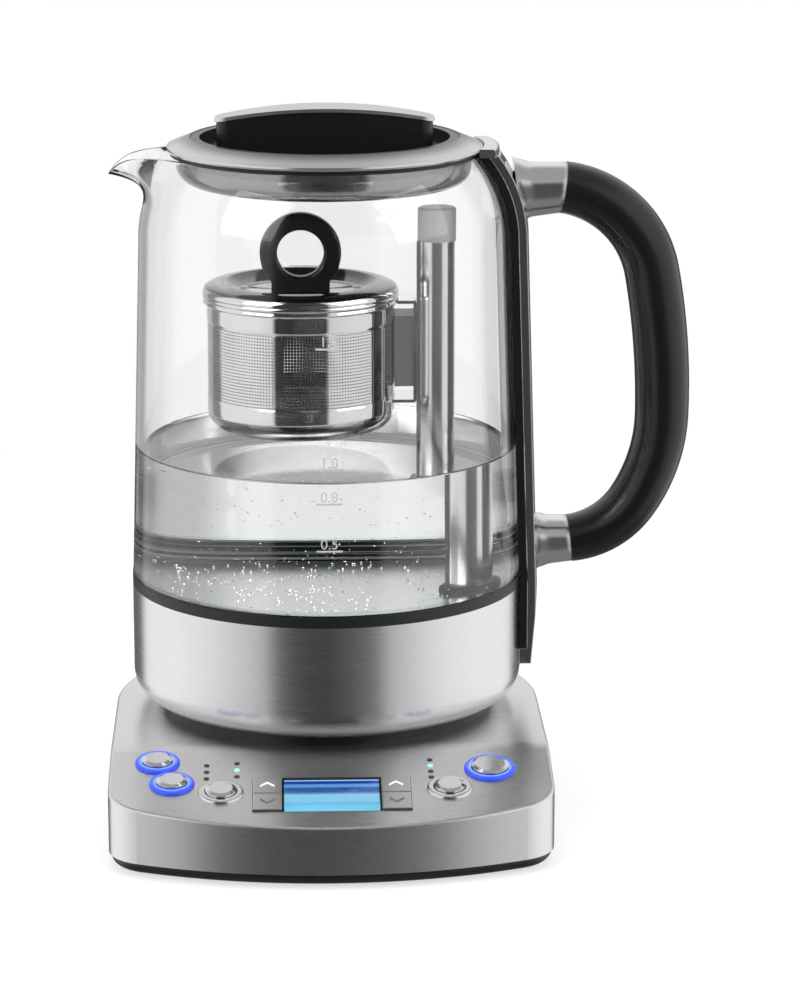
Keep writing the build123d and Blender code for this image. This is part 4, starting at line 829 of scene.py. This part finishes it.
def make_glass_foot():
    """Hollow curve in which the glass thickens down to the heater plate, all under water."""
    low, high = PLATE_TOP + FOOT_CLEAR, PLATE_TOP + FOOT_RISE
    profile = [(glass_inner_r(PLATE_TOP) - FOOT_CLEAR, low), (glass_inner_r(high) - FOOT_CLEAR, high)]
    for i in range(1, 13):
        share = i / 12
        wall_r = glass_inner_r(PLATE_TOP + FOOT_RISE * (1 - share)) - FOOT_CLEAR
        rise = (FOOT_RISE - FOOT_CLEAR) * (1 - share) ** 1.6
        profile.append((wall_r - FOOT_REACH * share ** 2.2, low + rise))
    shape = Shape()
    shape.lathe(profile, ROUND_STEPS, closed=True)
    shape.piece("glass_foot", "jug", "clear_glass", MATERIALS["foot_glass"])


def on_glass(u, z, proud):
    """Point on the front of the glass: u along its girth from the middle, proud of its surface."""
    radius = glass_inner_r(z) + GLASS_WALL - GLASS_STEP + proud
    angle = u / radius
    return radius * math.sin(angle), -radius * math.cos(angle), z


def wrap_mark(mesh, z):
    """Bends a flat drawing in millimetres round the glass, its foot at height z."""
    for vertex in mesh.vertices:
        u, rise, depth = vertex.co
        vertex.co = Vector(on_glass(u, z + rise, MARK_PROUD + depth)) * MM


def make_marks():
    """Plain numbers with a level line under each, printed on the front of the glass."""
    white = MATERIALS["print_white"]
    columns = 12
    for label, z in MARKS:
        ending = label.replace(".", "_")
        text = bpy.data.curves.new("mark", "FONT")
        text.body, text.size, text.align_x, text.extrude = label, MARK_SIZE, "CENTER", MARK_THICK / 2
        drawing = bpy.data.objects.new("mark", text)
        bpy.context.scene.collection.objects.link(drawing)
        mesh = evaluated_mesh(drawing)
        bpy.data.objects.remove(drawing)
        wrap_mark(mesh, z + MARK_GAP)
        finish_piece("mark_number_" + ending, mesh, "jug", None, white)
        bar = Shape()
        for i in range(columns + 1):
            u = MARK_LINE * (i / columns - 0.5)
            corners = ((0, 0), (0, MARK_THICK), (MARK_LINE_HEIGHT, MARK_THICK), (MARK_LINE_HEIGHT, 0))
            bar.row([on_glass(u, z + rise, MARK_PROUD + depth) for rise, depth in corners])
        for i in range(columns):
            bar.band(list(range(4 * i, 4 * i + 4)), list(range(4 * i + 4, 4 * i + 8)))
        bar.faces += [[0, 1, 2, 3], [4 * columns + k for k in (3, 2, 1, 0)]]
        bar.piece("mark_line_" + ending, "jug", None, white)


# ---------------------------------------------------------------- bubbles

def add_bubble(shape, centre, radius):
    """Small round bubble, slightly flattened against what it sits on."""
    x, y, z = centre
    turns = [math.radians(a) for a in range(0, 181, 36)]
    profile = [(radius * math.sin(a), -BUBBLE_HEIGHT * radius * math.cos(a)) for a in turns]
    profile[0], profile[-1] = (0, profile[0][1]), (0, profile[-1][1])
    shape.lathe([(r, z + rise) for r, rise in profile], 8, x, y)


def off_post(x, y):
    return math.hypot(x - POST_X, y) > POST_R + POST_CLEAR


def bubble_height(draw, lift, free, crowding):
    return PLATE_TOP + lift + (WATER_TOP - PLATE_TOP - free) * draw.random() ** crowding


def make_bubbles():
    """Bubbles on the heater plate, on the glass and on their way up."""
    draw = random.Random(BUBBLE_SEED)
    shape = Shape()
    for _ in range(PLATE_BUBBLES):
        radius = draw.uniform(*BUBBLE_R)
        away, turn = PLATE_REACH * math.sqrt(draw.random()), draw.uniform(0, math.tau)
        x, y = away * math.cos(turn), away * math.sin(turn)
        if off_post(x, y):
            add_bubble(shape, (x, y, PLATE_TOP + BUBBLE_HEIGHT * radius), radius)
    for _ in range(WALL_BUBBLES):
        radius = draw.uniform(*BUBBLE_R) * SMALL_BUBBLE
        z = bubble_height(draw, *WALL_RISE)
        away, turn = glass_inner_r(z) - WALL_TOUCH * radius, draw.uniform(0, math.tau)
        add_bubble(shape, (away * math.cos(turn), away * math.sin(turn), z), radius)
    for _ in range(FREE_BUBBLES):
        radius = draw.uniform(*BUBBLE_R) * SMALL_BUBBLE
        z = bubble_height(draw, *FREE_RISE)
        away, turn = FREE_REACH * math.sqrt(draw.random()), draw.uniform(0, math.tau)
        x, y = away * math.cos(turn), away * math.sin(turn)
        if off_post(x, y):
            add_bubble(shape, (x, y, z), radius)
    shape.piece("water_bubbles", "jug", None, MATERIALS["bubble"])


# ---------------------------------------------------------------- arrows on the keys

def make_chevron(name, body, x, v, sense, proud, look):
    """Raised arrow: two mitred bars with a sloping upper face, on a key's top."""
    shape = Shape()
    half, rise, stroke = CHEVRON_HALF, CHEVRON_RISE * sense, CHEVRON_STROKE * sense
    spine = ((-half, 0.0), (0.0, rise), (half, 0.0))
    section = ((0, -CHEVRON_SUNK), (0, CHEVRON_PROUD * 0.5), (stroke * 0.5, CHEVRON_PROUD),
               (stroke, CHEVRON_PROUD * 0.5), (stroke, -CHEVRON_SUNK))
    for u, w in spine:
        low_v = v - rise / 2 + w - stroke / 2
        shape.row([on_panel(x + u, low_v + across, proud + up) for across, up in section])
    size = len(section)
    for i in range(len(spine) - 1):
        shape.band(list(range(size * i, size * i + size)), list(range(size * i + size, size * i + 2 * size)))
    last = size * (len(spine) - 1)
    shape.faces += [list(range(size))[::-1], [last + k for k in range(size)]]
    if sense > 0:
        shape.faces = [face[::-1] for face in shape.faces]
    shape.piece(name, body, "key_silver", look)


def make_key_arrows():
    """White arrows up and dark arrows down, on the keys at both ends of the display."""
    key_v = (LCD_DEPTH + KEY_GAP) / 4
    keys = (("temp_up", -1, 1), ("temp_down", -1, -1), ("time_up", 1, 1), ("time_down", 1, -1))
    for name, side, half in keys:
        x = side * (LCD_LENGTH + KEY_WIDTH + 2 * KEY_GAP) / 2
        look = MATERIALS["print_white" if half > 0 else "key_dark"]
        make_chevron(f"arrow_{name}", f"key_{name}", x, LCD_V + half * key_v, half, KEY_PROUD, look)


# ---------------------------------------------------------------- stage

def level_ramp(shader, share, stops):
    """Grey level by azimuth, from stops of (degrees, level) between -180 and 180."""
    inner = [((degrees + 180) / 360, grey(level)) for degrees, level in stops[1:-1]]
    return shader.ramp(share, grey(stops[0][1]), grey(stops[-1][1]), inner)


def mix_color(shader, factor, first, second):
    node = shader.add("ShaderNodeMix", {"Factor": factor}, data_type="RGBA")
    for value, socket in zip((first, second), [s for s in node.inputs if s.type == "RGBA"]):
        if isinstance(value, bpy.types.NodeSocket):
            shader.tree.links.new(value, socket)
        else:
            socket.default_value = value
    return [s for s in node.outputs if s.type == "RGBA"][0]


def make_world():
    """White for the camera; metal sees a plain studio with softboxes and dark gaps, glass a paler one."""
    world = bpy.data.worlds.new("studio")
    bpy.context.scene.world = world
    shader = Shader(world)
    direction = shader.add("ShaderNodeTexCoord").outputs["Generated"]
    parts = shader.add("ShaderNodeSeparateXYZ", {"Vector": direction}).outputs
    turn = shader.math("ARCTAN2", parts["X"], shader.math("MULTIPLY", parts["Y"], -1.0))
    share = shader.map_range(turn, From_Min=-math.pi, From_Max=math.pi)
    height = parts["Z"]
    flag = shader.smooth_range(height, *FLAG_BLEND, 1.0, 0.0)
    flag = shader.math("MULTIPLY", flag, level_ramp(shader, share, FRONT_FLAG))
    clear = shader.math("SUBTRACT", 1.0, flag)
    upper = shader.math("MULTIPLY", shader.smooth_range(height, *HORIZON_BLEND), clear)
    zenith = shader.smooth_range(height, *ZENITH_BLEND)
    sky = mix_color(shader, zenith, level_ramp(shader, share, SKY), grey(ZENITH))
    studio = mix_color(shader, upper, level_ramp(shader, share, STUDIO), sky)
    ground = shader.smooth_range(height, *GROUND_BLEND, 1.0, 0.0)
    studio = mix_color(shader, ground, studio, grey(GROUND))
    beyond = mix_color(shader, ground, level_ramp(shader, share, THROUGH_GLASS), grey(GROUND_THROUGH))
    paths = shader.add("ShaderNodeLightPath").outputs
    mirrored = shader.math("MINIMUM", paths["Glossy Depth"], 1.0)
    beyond = mix_color(shader, mirrored, level_ramp(shader, share, CLEAR_VIEW), beyond)
    seen = mix_color(shader, paths["Is Transmission Ray"], studio, beyond)
    seen = mix_color(shader, paths["Is Diffuse Ray"], seen, grey(AMBIENT))
    seen = mix_color(shader, paths["Is Camera Ray"], seen, grey(1.0))
    shader.tree.links.new(seen, world.node_tree.nodes["Background"].inputs["Color"])


def make_floor():
    """White floor that keeps the object's soft shadow; metal and glass see the studio through it."""
    mesh = bpy.data.meshes.new("floor")
    half = FLOOR_HALF
    corners = [(-half, -half, 0), (half, -half, 0), (half, half, 0), (-half, half, 0)]
    mesh.from_pydata(corners, [], [(0, 1, 2, 3)])
    floor = bpy.data.objects.new("floor", mesh)
    bpy.context.scene.collection.objects.link(floor)
    material = bpy.data.materials.new("floor_white")
    shader = Shader(material)
    nodes = material.node_tree.nodes
    nodes.remove(nodes["Principled BSDF"])
    white = shader.add("ShaderNodeBsdfDiffuse", {"Color": grey(FLOOR_WHITE)})
    glow = shader.add("ShaderNodeEmission", {"Color": grey(1.0), "Strength": 1.0})
    clear = shader.add("ShaderNodeBsdfTransparent")
    paths = shader.add("ShaderNodeLightPath").outputs
    place = shader.add("ShaderNodeTexCoord").outputs["Object"]
    away = shader.add("ShaderNodeVectorMath", {0: place}, operation="LENGTH").outputs["Value"]
    share = shader.smooth_range(away, *FLOOR_FADE, FLOOR_GLOW, 1.0)
    shade = shader.math("MULTIPLY", share, paths["Is Camera Ray"])
    lit = shader.add("ShaderNodeMixShader", {0: shade, 1: white.outputs[0], 2: glow.outputs[0]})
    through = shader.math("MAXIMUM", paths["Is Glossy Ray"], paths["Is Transmission Ray"])
    mix = shader.add("ShaderNodeMixShader", {0: through, 1: lit.outputs[0], 2: clear.outputs[0]})
    shader.link(mix.outputs[0], nodes["Material Output"], "Surface")
    mesh.materials.append(material)


def soft_light(name, place, size, power):
    """Square lamp turned to the object, itself unseen in its gloss."""
    data = bpy.data.lights.new(name, "AREA")
    data.shape, data.size, data.size_y, data.energy = "RECTANGLE", size, size, power
    light = bpy.data.objects.new(name, data)
    light.location = place
    light.rotation_euler = (Vector(LAMP_TARGET) - Vector(place)).to_track_quat("-Z", "Y").to_euler()
    light.visible_glossy = False
    bpy.context.scene.collection.objects.link(light)


def make_camera():
    data = bpy.data.cameras.new("camera")
    data.lens, data.sensor_width, data.sensor_fit = CAMERA_LENS, SENSOR_WIDTH, "HORIZONTAL"
    camera = bpy.data.objects.new("camera", data)
    camera.location = CAMERA_PLACE
    camera.rotation_euler = (math.radians(CAMERA_PITCH), 0.0, math.radians(CAMERA_YAW))
    bpy.context.scene.collection.objects.link(camera)
    bpy.context.scene.camera = camera


def make_stage():
    make_world()
    make_floor()
    for name, place, size, power in LAMPS:
        soft_light(name, place, size, power)
    make_camera()
    bpy.context.scene.view_settings.view_transform = "Standard"


dress_nodes()
make_basket()
make_basket_lid()
make_water()
make_blown_glass()
make_glass_foot()
make_marks()
make_bubbles()
make_key_arrows()
make_stage()
